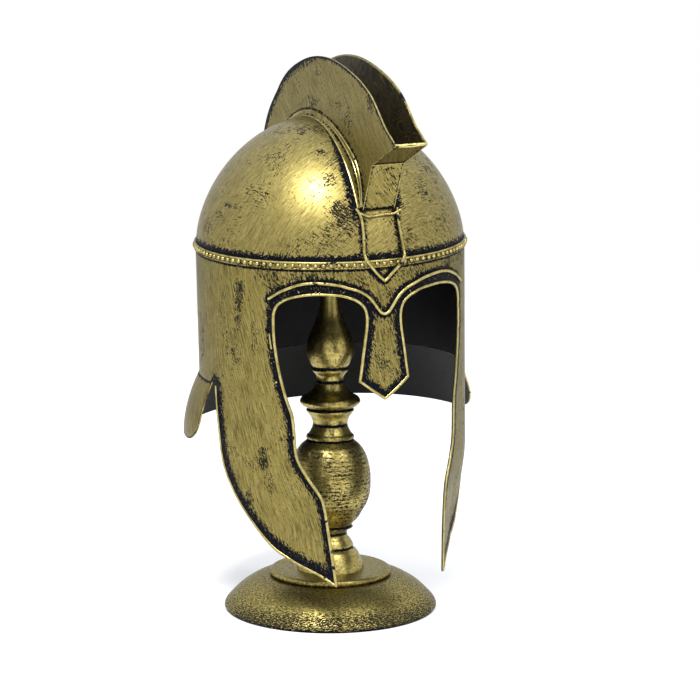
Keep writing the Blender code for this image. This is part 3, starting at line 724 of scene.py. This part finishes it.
def dark_inside(name):
    f = Finish(name)
    cloud = f.spread(f.space(), 0.06, detail=4.0)
    shade = f.ramp(cloud, -1.0, 1.0)
    return f.paint(
        base_color=f.blend(shade, (0.0030, 0.0032, 0.0032, 1), (0.0058, 0.0062, 0.0062, 1)),
        metallic=0.0,
        roughness=cloud * 0.03 + 0.52,
        specular_ior_level=0.20,
        normal=f.bump(f.spread(f.space(), 0.0014), 0.00008, 0.3),
    )


def trough_brown(name):
    """Inside of the crest: dark, with gold paint in loose swirling hairs."""
    f = Finish(name)
    where = f.flat()
    hairs = f.math("SINE", f.grain(f.laid(where, 0.34), 1.0, 0.4, 0.8) * 280.0)
    loose = f.spread(where, 0.05, detail=3.0) + f.spread(where, 0.16)
    stroke = f.ramp(hairs + loose * 0.32, 0.30, 1.05)
    return f.paint(
        base_color=f.blend(stroke, (0.0090, 0.0075, 0.0040, 1), (0.165, 0.120, 0.038, 1)),
        metallic=stroke * 0.9,
        roughness=0.5,
        specular_ior_level=0.25,
    )


# Helmet pieces


def mark(bm, name, value_at):
    """Keeps a value from 0 to 1 on each vertex, for the finish to read."""
    layer = bm.verts.layers.float.new(name)
    for vert in bm.verts:
        vert[layer] = min(max(value_at(vert.co), 0.0), 1.0)


def smudged(places, spot):
    """How worn a spot is: each place has its centre, its reach across and up, and its strength, in mm."""
    most = 0.0
    for *centre, across, up, strength in places:
        gaps = [(have / MM - want) for have, want in zip(spot, centre)]
        far = hypot(hypot(*gaps[:-1]) / across, gaps[-1] / up)
        if far < 1.6:
            most = max(most, strength * smoothstep(1.6 - far))
    return most


def make_dome(gold, inside, edge):
    bm = spun([(DOME_RADIUS, -BAND_DEPTH / 2)] + dome_profile(), DOME_SEGMENTS, closed=False)
    outward(bm, Vector((0, 0, 0)))
    across = CREST_HALF_WIDTH + STRIP_OUT
    strip_foot = []
    for step in range(220):
        angle = STRIP_FRONT * (1 - step / 219 * STRIP_SWEEP)
        reach = dome_reach(across, angle)
        strip_foot.append(Vector((across, -reach * sin(angle), reach * cos(angle))))
    strip_tree = near_lines([strip_foot, [Vector((-p.x, p.y, p.z)) for p in strip_foot]])
    tongue_tree = near_lines([[tongue_spot(a, u) for a, u in tongue_line(1.0 * MM)]])

    def soot(spot):
        point, _, gap = strip_tree.find(spot)
        ahead = smoothstep((-point.y - 30 * MM) / (55 * MM))
        strip = 1 - gap / (SOOT_BY_STRIP + SOOT_BY_STRIP_AHEAD * ahead)
        wire = 1 - tongue_tree.find(spot)[2] / SOOT_BY_TONGUE
        return max(1 - spot.z / SOOT_OVER_BAND, strip, wire)

    mark(bm, "soot", soot)
    mark(bm, "worn", lambda spot: smudged(DOME_WORN, spot))
    wrap_flat(bm, DOME_RADIUS)
    bm = thicken(bm, SHEET, gold)
    finish_piece("dome_sheet", bm, [gold, inside, edge], "dome")


def make_bead_band(bright, recess):
    inner = WALL_RADIUS - 0.3 * MM
    rail = 0.75 * MM
    floor = BAND_FACE - 0.8 * MM
    profile = [(inner, 0.0)]
    for centre in (-rail, -BAND_DEPTH + rail):
        for step in range(7):
            turn = pi / 2 - step / 6 * pi
            profile.append((BAND_FACE - rail + rail * cos(turn), centre + rail * sin(turn)))
        if centre == -rail:
            profile += [(floor, -2 * rail - 0.1 * MM), (floor, -BAND_DEPTH + 2 * rail + 0.1 * MM)]
    profile.append((inner, -BAND_DEPTH))
    bm = spun(profile, 2 * STUD_COUNT, closed=True)
    # The floor between the rails and the whole lower half of the band, its lower rail too, take the darker
    # finish; the upper rail and the studs keep the bright one
    for face in bm.faces:
        spot = face.calc_center_median()
        face.material_index = int(hypot(spot.x, spot.y) < floor + 0.15 * MM or spot.z < -BAND_DEPTH / 2)
    sink = 0.4 * MM
    for index in range(STUD_COUNT):
        turn = 2 * pi * index / STUD_COUNT
        stud = bmesh.new()
        bmesh.ops.create_uvsphere(stud, u_segments=10, v_segments=6, radius=1.0)
        shape = Matrix.Diagonal((STUD_WIDTH / 2, STUD_PEAK - floor + sink, STUD_WIDTH / 2, 1.0))
        out = Matrix.Rotation(turn, 4, "Z") @ Matrix.Translation((0, sink - floor, -BAND_DEPTH / 2))
        stud.transform(out @ shape)
        join(bm, stud)
    finish_piece("bead_band_ring", bm, [bright, recess], "bead_band", sharp=55.0)


def wall_outline():
    """Half of the flat sheet, from the middle of the top edge round to the nasal's tip."""
    top = BAND_DEPTH / 2
    back = WALL_RADIUS * pi
    rim = smooth_edge(rim_rows(), 2.0 * MM)
    bottom = [Vector((back, SKIRT_DROP_BACK)), Vector((CHEEK_REACH, SKIRT_DROP))]
    return [Vector((0.0, top)), Vector((back, top))] + bottom + rim[::-1]


def make_face_wall(gold, inside, edge):
    half = wall_outline()
    whole = half + [Vector((-p.x, p.y)) for p in half[-2:0:-1]]
    bm = bmesh.new()
    bm.faces.new([bm.verts.new((p.x, -p.y, 0)) for p in whole])
    cut_cells(bm, 0, WALL_CELL)
    cut_cells(bm, 1, WALL_CELL)
    rim = smooth_edge(rim_rows(), 0.8 * MM)
    both = [rim, [Vector((-p.x, p.y)) for p in rim]]
    tip = next(index for index, p in enumerate(rim) if p.y >= CHEEK_DROP * 0.999)
    rear_tree = near_lines([line[tip:] for line in both])
    fore_tree = near_lines([line[:tip] for line in both])
    brow_tree = near_lines([brow_line(0.8 * MM)])
    tongue_tree = near_lines([[Vector((a, -u)) for a, u in tongue_line(1.0 * MM)]])

    def soot(flat):
        spot = (flat.x, -flat.y, 0.0)
        rear_edge = 1 - rear_tree.find(spot)[2] / SOOT_BY_REAR_RIM
        fore_edge = 1 - fore_tree.find(spot)[2] / SOOT_BY_FORE_RIM
        brow = 1 - brow_tree.find(spot)[2] / SOOT_BY_BROW
        tongue = 1 - tongue_tree.find(spot)[2] / SOOT_BY_TONGUE
        band = 1 - (spot[1] - BAND_DEPTH) / SOOT_UNDER_BAND
        return max(rear_edge, fore_edge, brow, tongue, band)

    mark(bm, "soot", soot)
    mark(bm, "worn", lambda flat: smudged(WALL_WORN, (flat.x, -flat.y)))
    lay_flat(bm, lambda face, vert: (vert.co.x, vert.co.y))
    for vert in bm.verts:
        vert.co = on_wall(vert.co.x, -vert.co.y)
    bmesh.ops.remove_doubles(bm, verts=bm.verts, dist=0.005 * MM)
    outward(bm, Vector((0, 0, -60 * MM)))
    bm = thicken(bm, SHEET, gold)
    finish_piece("face_wall_sheet", bm, [gold, inside, edge], "face_wall")


def skirt_drop_at(turn):
    start = CHEEK_REACH / WALL_RADIUS
    share = min(max((turn - start) / (pi - start), 0.0), 1.0)
    return SKIRT_DROP + (SKIRT_DROP_BACK - SKIRT_DROP) * share


def make_neck_guard(gold, inside, edge):
    """A grid bent into the flared guard; its end columns shorten into the rounded lobes."""
    bm = bmesh.new()
    bmesh.ops.create_grid(bm, x_segments=GUARD_COLUMNS, y_segments=GUARD_ROWS, size=0.5)
    sweep = 2 * (pi - GUARD_START)
    lobe = GUARD_LOBE / sweep
    bend = lobe * 1.25  # share of the columns that make a lobe's round end
    soot = bm.verts.layers.float.new("soot")
    places = {}
    for vert in bm.verts:
        across, down = vert.co.x + 0.5, vert.co.y + 0.5
        end = min(across, 1 - across)
        angle = min(end / bend, 1.0) * pi / 2
        inset = lobe * (1 - cos(angle))
        if end >= bend:
            inset = lobe + (end - bend) * (0.5 - lobe) / (0.5 - bend)
        full = GUARD_FRONT_SHARE + (1 - GUARD_FRONT_SHARE) * sin(angle)
        share = inset if across < 0.5 else 1 - inset
        turn = GUARD_START + share * sweep
        top = skirt_drop_at(min(turn, 2 * pi - turn))
        fall = down * full
        radius = WALL_RADIUS + GUARD_FLARE * (1 - (1 - fall) ** GUARD_FLARE_SHAPE)
        vert.co = (radius * sin(turn), -radius * cos(turn), -top - GUARD_DEPTH * fall)
        places[vert] = (turn * WALL_RADIUS, -top - GUARD_DEPTH * fall)
        to_edge = min((full - fall) * GUARD_DEPTH, inset * sweep * WALL_RADIUS + 0.3 * MM)
        vert[soot] = max(1 - to_edge / (2.2 * MM), 1 - fall * GUARD_DEPTH / (3.5 * MM))
    lay_flat(bm, lambda face, vert: places[vert])
    outward(bm, Vector((0, 0, -120 * MM)))
    bm = thicken(bm, SHEET, gold)
    finish_piece("neck_guard_sheet", bm, [gold, inside, edge], "neck_guard")


def crest_top(step):
    peak = CREST_PEAK - CREST_TRIM
    rise = peak - LIP_HEIGHT
    front = [Vector((f * CREST_LIP, LIP_HEIGHT + u * rise)) for f, u in CREST_EDGE_FRONT]
    back = [Vector((-f * CREST_TAIL, u * peak)) for f, u in CREST_EDGE_BACK]
    return smooth_run([Vector((CREST_LIP, LIP_HEIGHT))] + front + back, step)


def crest_root(step_count):
    """Where the side plate meets the dome, from the tail forward to the foot."""
    points = []
    start, end = radians(-84.0), radians(69.0)
    for step in range(step_count + 1):
        angle = start + (end - start) * step / step_count
        reach = dome_reach(CREST_HALF_WIDTH, angle) - 0.4 * MM
        points.append(Vector((reach * sin(angle), reach * cos(angle))))
    return points


def make_crest(gold, trough, edge):
    """Both plates as one sheet: a side plate, its front edge drawn across to the middle, then mirrored."""
    top = crest_top(2.0 * MM)
    bent = [(FOOT_FORWARD, FOOT_HEIGHT), (FOLD_FORWARD, FOLD_HEIGHT)]
    outline = top + crest_root(90) + [Vector(spot) for spot in bent]
    bm = bmesh.new()
    verts = [bm.verts.new((CREST_HALF_WIDTH, -p.x, p.y)) for p in outline]
    bm.faces.new(verts)
    front = [bm.edges.get((verts[-2], verts[-1])), bm.edges.get((verts[-1], verts[0]))]
    made = bmesh.ops.extrude_edge_only(bm, edges=front)
    for vert in [part for part in made["geom"] if isinstance(part, bmesh.types.BMVert)]:
        vert.co.x = 0.0
    for axis in (1, 2, 0):
        cut_cells(bm, axis, CREST_CELL)
    bmesh.ops.mirror(bm, geom=bm.verts[:] + bm.edges[:] + bm.faces[:], axis="X", merge_dist=0.01 * MM)
    bmesh.ops.remove_doubles(bm, verts=bm.verts, dist=0.01 * MM)
    outward(bm, Vector((0, 0, 0)))
    edge_tree = near_lines([crest_top(0.8 * MM)])

    def on_front(spot):
        return abs(spot.x) < CREST_HALF_WIDTH - 0.05 * MM

    def soot(spot):
        if on_front(spot):
            side_line = 0.85 - (CREST_HALF_WIDTH - abs(spot.x)) / (3.4 * MM)
            foot_line = 1 - (spot.z - FOOT_HEIGHT) / (4.0 * MM)
            fold_line = 0.8 - abs(spot.z - FOLD_HEIGHT - 1.2 * MM) / (2.6 * MM)
            lip_line = 1 - (LIP_HEIGHT - spot.z) / (3.6 * MM)
            return max(side_line, foot_line, fold_line, lip_line)
        behind = smoothstep(0.5 + spot.y / (50 * MM))
        gap = edge_tree.find((-spot.y, spot.z, 0.0))[2]
        rim = 1 - gap / (SOOT_BY_CREST_RIM + SOOT_BY_CREST_TAIL * behind)
        reach = hypot(CREST_HALF_WIDTH, spot.y)
        if reach < DOME_RADIUS:
            rim = max(rim, 1 - (spot.z - dome_height_at(reach)) / SOOT_OVER_DOME)
        return rim

    def worn(spot):
        if on_front(spot):
            return smudged(PLATE_WORN, (spot.x, spot.z))
        return smudged(CREST_WORN, (spot.y, spot.z))

    mark(bm, "soot", soot)
    mark(bm, "worn", worn)
    lay_flat(bm, lambda face, vert: (vert.co.x if abs(face.normal.x) < 0.5 else -vert.co.y, vert.co.z))
    bm = thicken(bm, SHEET, gold)
    inner = CREST_HALF_WIDTH - CREST_HEM
    bent.append((CREST_LIP - 0.8 * MM, LIP_HEIGHT - 0.6 * MM))
    for side in (-1, 1):
        hem = [Vector((side * inner, -0.995 * p.x, p.y - CREST_HEM * 1.1)) for p in top]
        join(bm, tube(hem, CREST_HEM, 8), 2)
        # The bent corners shine where the brush caught them
        corner = side * (CREST_HALF_WIDTH - 0.15 * MM)
        join(bm, tube([Vector((corner, 0.15 * MM - ahead, up)) for ahead, up in bent], 0.42 * MM, 8), 2)
    fold = [Vector((x, 0.05 * MM - FOLD_FORWARD, FOLD_HEIGHT)) for x in (-CREST_HALF_WIDTH, CREST_HALF_WIDTH)]
    join(bm, tube(fold, 0.50 * MM, 8), 2)
    lip = []
    for step in range(17):
        share = step / 16
        sag = (0.45 + 0.9 * sin(pi * share) ** 2 * (1 - 0.6 * share)) * MM
        lip.append(Vector((inner * (2 * share - 1), 1.1 * CREST_HEM - CREST_LIP, LIP_HEIGHT - sag)))
    join(bm, tube(lip, CREST_HEM, 8), 2)
    finish_piece("crest_plates", bm, [gold, trough, edge], "crest")


def punch_marks(bm, side, lines):
    """Marks with black left in them, on the plate above the strip and along the strip's middle."""
    for seed, row, lift, pitch, least, most in PUNCH_ROWS:
        line = [lines[row][index] for index in sorted(lines[row])]
        run = 0.0
        for a, b in zip(line, line[1:]):
            run += (b - a).length
            chance = noise.noise(Vector((b.y, b.z, seed)) * 260.0)
            if run < pitch * MM * (1.0 + 0.5 * chance) or chance < least:
                continue
            run = 0.0
            size = (0.45 + 0.55 * most * abs(noise.noise(Vector((b.z, b.y, seed)) * 410.0)) * 2) * MM
            across = CREST_HALF_WIDTH if row == STRIP_ROWS else abs(b.x) + 0.45 * MM
            centre = Vector((side * across, b.y, b.z)) + Vector((0, b.y, b.z)).normalized() * lift * MM
            along = b - a
            turn = Matrix.Rotation(atan2(along.z, along.y) * 0.4, 4, "X")
            pit = bmesh.new()
            bmesh.ops.create_uvsphere(pit, u_segments=8, v_segments=5, radius=1.0)
            pit.transform(Matrix.Diagonal((0.25 * MM, size * 3.4, size * 1.5, 1.0)))
            pit.transform(Matrix.Translation(centre) @ turn)
            join(bm, pit, 3)


def make_crest_foot(name, side, strip, bright, patina):
    """A bent strip from the dome up the side plate, with a rolled bead along each edge."""
    shape = smooth_run([Vector((a, r)) for a, r in STRIP_SHAPE], 0.012)
    bm = bmesh.new()
    bmesh.ops.create_grid(bm, x_segments=len(shape) - 1, y_segments=STRIP_ROWS, size=0.5)
    places, lines = {}, {row: {} for row in STRIP_BEADS}
    foot = CREST_HALF_WIDTH + STRIP_OUT
    for vert in bm.verts:
        index = round((vert.co.x + 0.5) * (len(shape) - 1))
        up = vert.co.y + 0.5
        angle, rise = shape[index].x * STRIP_FRONT, shape[index].y * STRIP_UP
        low = dome_reach(foot, angle) + 0.1 * MM
        across = foot + (CREST_HALF_WIDTH + 0.5 * MM - foot) * up ** 0.8
        hollow = 0.55 * MM * sin(pi * min(up / 0.72, 1.0))
        out = Vector((0, -sin(angle), cos(angle)))
        vert.co = Vector((side * (across - hollow), 0, 0)) + out * (low + rise * up)
        places[vert] = (angle * low, up * max(rise, 2 * MM))
        row = round(up * STRIP_ROWS)
        if row in lines:
            lines[row][index] = vert.co.copy()
    lay_flat(bm, lambda face, vert: places[vert])
    outward(bm, Vector((side * CREST_HALF_WIDTH * 0.5, 0, 0)))
    bm = thicken(bm, 0.8 * MM, strip)
    for row, radius in STRIP_BEADS.items():
        join(bm, tube([lines[row][index] for index in sorted(lines[row])], radius, 8), 2)
    punch_marks(bm, side, lines)
    finish_piece(name + "_strip", bm, [strip, strip, bright, patina], name)


def wall_facing(spot):
    """Which way the wall's outer face looks near a spot of its rim."""
    turn = atan2(abs(spot.x), -spot.y)
    if -spot.z > EYE_TOP + FLAT_DEPTH * EYE_CORNER and abs(spot.x) > ROLLED_NASAL * NASAL_HALF_WIDTH:
        turn = max(turn, TANGENT_ANGLE)
    return Vector((sin(turn) if spot.x > 0 else -sin(turn), -cos(turn), 0))


def mark_tuck_and_side_shade(bm):
    """Marks a wire's sides: black left by the brush between it and the sheet, and painted shade that darkens
    the round wire's flanks.
    """
    bm.normal_update()
    layer = bm.verts.layers.float.new("tuck_and_side_shade")
    for vert in bm.verts:
        vert[layer] = 1.0 - max(vert.normal.dot(wall_facing(vert.co)), 0.0)


def make_rim_wires(bright, inside):
    line = smooth_edge(rim_rows(), 1.6 * MM)
    for name, side in (("rim_wire_right", 1), ("rim_wire_left", -1)):
        points = [on_wall(side * p.x, p.y, -SHEET / 2) for p in line]
        bm = tube(points, WIRE, 12)
        for face in bm.faces:
            painted = face.normal.dot(wall_facing(face.calc_center_median())) < -0.4
            face.material_index = int(painted)
        mark_tuck_and_side_shade(bm)
        if side < 0:
            join(bm, tube([on_wall(-a * MM, d * MM, 0.2 * MM) for a, d in SPARE_END], 0.7 * MM, 8))
            for along, drop, size in SOLDER_DOTS:
                dot = bmesh.new()
                bmesh.ops.create_icosphere(dot, subdivisions=2, radius=size * MM)
                dot.transform(Matrix.Translation(on_wall(-along * MM, drop * MM, 0.5 * MM)))
                join(bm, dot)
        finish_piece(name + "_round", bm, [bright, inside], name, sharp=60.0)


def make_brow_wire(bright):
    points = [on_wall(p.x, p.y, WIRE * 0.8) for p in brow_line(1.6 * MM)]
    bm = tube(points, WIRE, 12)
    mark_tuck_and_side_shade(bm)
    finish_piece("brow_wire_round", bm, [bright], "brow_wire", sharp=60.0)


def tongue_line(step):
    side = [Vector((a * TONGUE_HALF_WIDTH, u * (FOOT_HEIGHT - WIRE))) for a, u in TONGUE_SIDE]
    point = [Vector((a * TONGUE_HALF_WIDTH, -u * TONGUE_DROP)) for a, u in TONGUE_POINT]
    half = smooth_run(side + point[:1], step) + smooth_run(point, step)[1:]
    return half + [Vector((-p.x, p.y)) for p in half[-2::-1]]


def tongue_spot(across, up):
    """A point of the pointed frame, which is flat across and leans on the dome, the band or the wall."""
    if up > 2 * WIRE:
        reach = max(dome_radius_at(up), STUD_PEAK - up * TONGUE_LEAN)
    elif up > -BAND_DEPTH - WIRE:
        reach = STUD_PEAK
    else:
        reach = WALL_RADIUS + 0.3 * MM
    return Vector((across, -reach - WIRE, up))


def eased(spots, passes):
    """Rounds the kinks of a line of points, whose ends stay."""
    for _ in range(passes):
        middle = [(a + 2 * b + c) / 4 for a, b, c in zip(spots, spots[1:], spots[2:])]
        spots = [spots[0]] + middle + [spots[-1]]
    return spots


def make_tongue_wire(bright):
    """The frame's wire, bent to its point with loose ends at the top, and the bar across them."""
    line = tongue_line(2.0 * MM)
    top = line[0].y
    wide = line[0].x
    ends = [Vector((wide + 0.4 * MM, top + 2.6 * MM)), Vector((-wide - 2.6 * MM, top + 4.4 * MM))]
    line = [ends[0]] + line + [Vector((-wide - 1.0 * MM, top + 2.2 * MM)), ends[1]]
    point = min(range(len(line)), key=lambda index: line[index].y)
    spots = [tongue_spot(p.x, p.y) for p in line]
    spots = eased(spots[: point + 1], 2) + eased(spots[point:], 2)[1:]
    bm = tube(spots, WIRE, 12)
    bar = smooth_run([Vector((a * wide, top + u * MM)) for a, u in TONGUE_BAR], 1.5 * MM)
    join(bm, tube([tongue_spot(p.x, p.y) + Vector((0, -0.7 * MM, 0)) for p in bar], 0.85 * WIRE, 12))
    mark_tuck_and_side_shade(bm)
    finish_piece("tongue_wire_round", bm, [bright], "tongue_wire", sharp=60.0)


# Stand


def turned(rows, step):
    return [(p.x, p.y) for p in smooth_run([Vector(row) for row in rows], step)]


def make_base(gilt):
    rows = [(r * BASE_RADIUS, h * BASE_HEIGHT) for r, h in BASE_PROFILE]
    profile = [(0.0, 0.0)] + turned(rows, 1.2 * MM) + [(0.0, rows[-1][1])]
    bm = spun(profile, 220, closed=False)
    groove = (BASE_GROOVE[0] * BASE_RADIUS, BASE_GROOVE[1] * BASE_HEIGHT)

    def soot(spot):
        reach = hypot(spot.x, spot.y)
        ring = 0.6 - hypot(reach - groove[0], spot.z - groove[1]) / (4.0 * MM)
        # The lowest few millimetres of the rim are darkened as a painted shadow where the base meets the
        # floor; the black in the groove is the finish
        return max(ring, 1 - spot.z / (4.2 * MM))

    def worn(spot):
        reach = hypot(spot.x, spot.y)
        if reach < 1.02 * groove[0]:
            return 0.0
        # Wear all round, plus more black low on the front, on the side that faces the camera and the softbox:
        # painted shade that dims the lamp's highlight there
        front = 0.5 + 0.5 * (-0.36 * spot.x - 0.93 * spot.y) / reach
        low = smoothstep(1.2 - spot.z / (14 * MM))
        return 0.34 + (0.20 + 0.90 * low) * front * front

    mark(bm, "soot", soot)
    mark(bm, "worn", worn)
    wrap_flat(bm, BASE_RADIUS * 0.7)
    finish_piece("stand_base_turned", bm, [gilt], "stand_base", seated=False, sharp=50.0)


def make_stem(gilt):
    start = BASE_PROFILE[-1][1] * BASE_HEIGHT
    length = VASE_TOP - start
    rows = [(r * BULB_RADIUS, start + h * length) for r, h in STEM_PROFILE]
    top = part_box("stand_stem")[1].z
    rows += [(ROD_RADIUS, VASE_TOP + 10 * MM), (ROD_RADIUS, top - 26 * MM)]
    rows += [(9.5 * MM, top - 3 * MM), (6.5 * MM, top - 0.6 * MM)]
    profile = [(0.0, start)] + turned(rows, 0.8 * MM) + [(0.0, top)]
    bm = spun(profile, 128, closed=False)
    grooves = [(r, h) for (p, _), (r, h), (n, _) in zip(rows, rows[1:], rows[2:]) if r < p and r < n]

    def soot(spot):
        reach = hypot(spot.x, spot.y)
        return max(1 - hypot(reach - r, spot.z - h) / (2.6 * MM) for r, h in grooves)

    def worn(spot):
        bulb = smoothstep(1.8 - abs(spot.z - BULB_WIDEST * length - start) / (26 * MM))
        scored = 0.34 * sin(2 * pi * spot.z / (3.3 * MM))
        return 0.12 + (0.58 + scored) * bulb

    mark(bm, "soot", soot)
    mark(bm, "worn", worn)
    wrap_flat(bm, BULB_RADIUS)
    finish_piece("stand_stem_turned", bm, [gilt], "stand_stem", seated=False, sharp=50.0)


# Room, light and camera


LAMP_DISTANCE = 1.9
LAMP_AIM = Vector((0, 0, 0.25))
LAMPS = [
    # name, degrees round from the front, degrees up, size, power
    ("softbox", -41.0, 56.0, 0.44, 32.0),
    ("fill", 18.0, 46.0, 0.35, 9.5),
    ("window", 20.0, 14.0, 0.60, 1.2),
]
FLOOR_REACH = 1.6
SKY = [(0.12, (1.0, 1.0, 1.0, 1)), (0.85, (1.36, 1.40, 1.52, 1))]  # from the horizon up
CAMERA_PLACE = (-0.6849, -1.6713, 0.4961)
CAMERA_TURN = (80.954, 0.0, -22.786)
CAMERA_LENS = 118.286


def stand_in_room(name, data):
    item = bpy.data.objects.new(name, data)
    bpy.context.scene.collection.objects.link(item)
    return item


def make_floor():
    bm = bmesh.new()
    bmesh.ops.create_grid(bm, x_segments=1, y_segments=1, size=FLOOR_REACH)
    mesh = bpy.data.meshes.new("floor")
    bm.to_mesh(mesh)
    bm.free()
    pale = Finish("pale_floor").paint(base_color=(0.80, 0.795, 0.78, 1), roughness=0.9, metallic=0.0)
    mesh.materials.append(pale)
    stand_in_room("floor", mesh)


def make_light():
    world = bpy.data.worlds.new("studio")
    world.use_nodes = True
    tree = world.node_tree
    sky = tree.nodes.new("ShaderNodeTexCoord")
    split = tree.nodes.new("ShaderNodeSeparateXYZ")
    ramp = tree.nodes.new("ShaderNodeValToRGB")
    tree.links.new(sky.outputs["Generated"], split.inputs[0])
    tree.links.new(split.outputs["Z"], ramp.inputs[0])
    for element, (position, colour) in zip(ramp.color_ramp.elements, SKY):
        element.position = position
        element.color = colour
    tree.links.new(ramp.outputs["Color"], tree.nodes["Background"].inputs["Color"])
    tree.nodes["Background"].inputs["Strength"].default_value = 1.0
    bpy.context.scene.world = world
    bpy.context.scene.view_settings.view_transform = "Standard"
    for name, turn, rise, size, power in LAMPS:
        turn, rise = radians(turn), radians(rise)
        out = Vector((cos(rise) * sin(turn), -cos(rise) * cos(turn), sin(rise)))
        light = bpy.data.lights.new(name, "AREA")
        light.shape = "RECTANGLE"
        light.size = light.size_y = size
        light.energy = power
        lamp = stand_in_room(name, light)
        lamp.location = LAMP_AIM + LAMP_DISTANCE * out
        lamp.rotation_mode = "QUATERNION"
        lamp.rotation_quaternion = (-out).to_track_quat("-Z", "Y")


def make_camera():
    data = bpy.data.cameras.new("camera")
    data.sensor_width = 36.0
    data.lens = CAMERA_LENS
    data.clip_start = 0.05
    camera = stand_in_room("camera", data)
    camera.location = CAMERA_PLACE
    camera.rotation_euler = [radians(turn) for turn in CAMERA_TURN]
    bpy.context.scene.camera = camera


def dress():
    mm = 0.01  # a millimetre on the flat maps, whose unit is 100 mm
    # The one antique gold gets its own lift on each helmet piece, darker on the upright wall and neck guard
    # than on the dome: painted shade and painted light for how the studio light falls on upright and upward
    # faces.
    dome_gold = antique_gold(
        "dome_gold",
        ((4.2 * MM, 4.2 * MM, 0.80 * MM), leant((0.42, -0.79, -0.44))),
        ((4.6 * MM, 4.6 * MM, 0.85 * MM), leant((0.60, 0.15, 0.62))),
        0.9 * MM, 22 * MM, -2.00, on_flat=False, rough=0.42, contrast=1.25, lift=1.03,
    )
    wall_gold = antique_gold(
        "wall_gold",
        ((0.85 * mm, 5.0 * mm, 1.0), (0, 0, 0.26)),
        ((0.90 * mm, 3.4 * mm, 1.0), (0, 0, 0.60)),
        0.85 * mm, 24 * mm, -2.25, rough=0.44, ragged=0.08, contrast=0.8, lift=0.86, lacquer=0.12,
    )
    crest_gold = antique_gold(
        "crest_gold",
        ((1.00 * mm, 7.5 * mm, 1.0), (0, 0, 0.75)),
        ((1.10 * mm, 5.5 * mm, 1.0), (0, 0, -0.9)),
        1.1 * mm, 22 * mm, -2.4, rough=0.43, ragged=0.16, contrast=0.95, lift=0.97, lacquer=0.15,
    )
    guard_gold = antique_gold(
        "guard_gold",
        ((0.85 * mm, 5.0 * mm, 1.0), (0, 0, 0.05)),
        ((0.90 * mm, 3.4 * mm, 1.0), (0, 0, 0.5)),
        0.85 * mm, 24 * mm, -2.6, rough=0.44, contrast=1.1, lift=0.88, lacquer=0.15,
    )
    # The stand's gilt is lighter than the helmet's gold through lift: partly its own lighter colour, partly
    # painted light that makes up for light the helmet keeps off the stem. The base is lifted less than the
    # stem, as painted shade that dims the lamp's highlight on it.
    stem_gilt_with_painted_light = antique_gold(
        "stand_gilt_with_painted_light",
        ((3.8 * mm, 0.80 * mm, 1.0), (0, 0, 0)),
        ((0.85 * mm, 2.2 * mm, 1.0), (0, 0, 0.1)),
        0.9 * mm, 20 * mm, -1.95, rough=0.34, lift=1.60, bend=0.0,
    )
    base_gilt_with_painted_light = antique_gold(
        "base_gilt_with_painted_light",
        ((2.4 * mm, 0.70 * mm, 1.0), (0, 0, 0)),
        ((2.0 * mm, 0.80 * mm, 1.0), (0, 0, 0.25)),
        0.8 * mm, 20 * mm, -1.78, rough=0.38, lift=1.28, lacquer=0.10, bend=0.0, cloud=0.30,
    )
    bright = bright_wire("bright_gold")
    recess = antique_gold(
        "band_recess",
        ((2.0 * MM, 2.0 * MM, 2.0 * MM), (0, 0, 0)),
        ((1.6 * MM, 1.6 * MM, 1.6 * MM), (0.3, 0.4, 0.5)),
        0.9 * MM, 20 * MM, -0.35, on_flat=False,
    )
    inside = dark_inside("dark_inside")
    make_dome(dome_gold, inside, bright)
    make_bead_band(bright, recess)
    make_face_wall(wall_gold, inside, bright)
    make_neck_guard(guard_gold, inside, bright)
    make_crest(crest_gold, trough_brown("trough_brown"), bright)
    patina = patina_black("patina_black")
    make_crest_foot("crest_foot_right", 1, crest_gold, bright, patina)
    make_crest_foot("crest_foot_left", -1, crest_gold, bright, patina)
    make_rim_wires(bright, inside)
    make_brow_wire(bright)
    make_tongue_wire(bright)
    make_base(base_gilt_with_painted_light)
    make_stem(stem_gilt_with_painted_light)
    make_floor()
    make_light()
    make_camera()


dress()
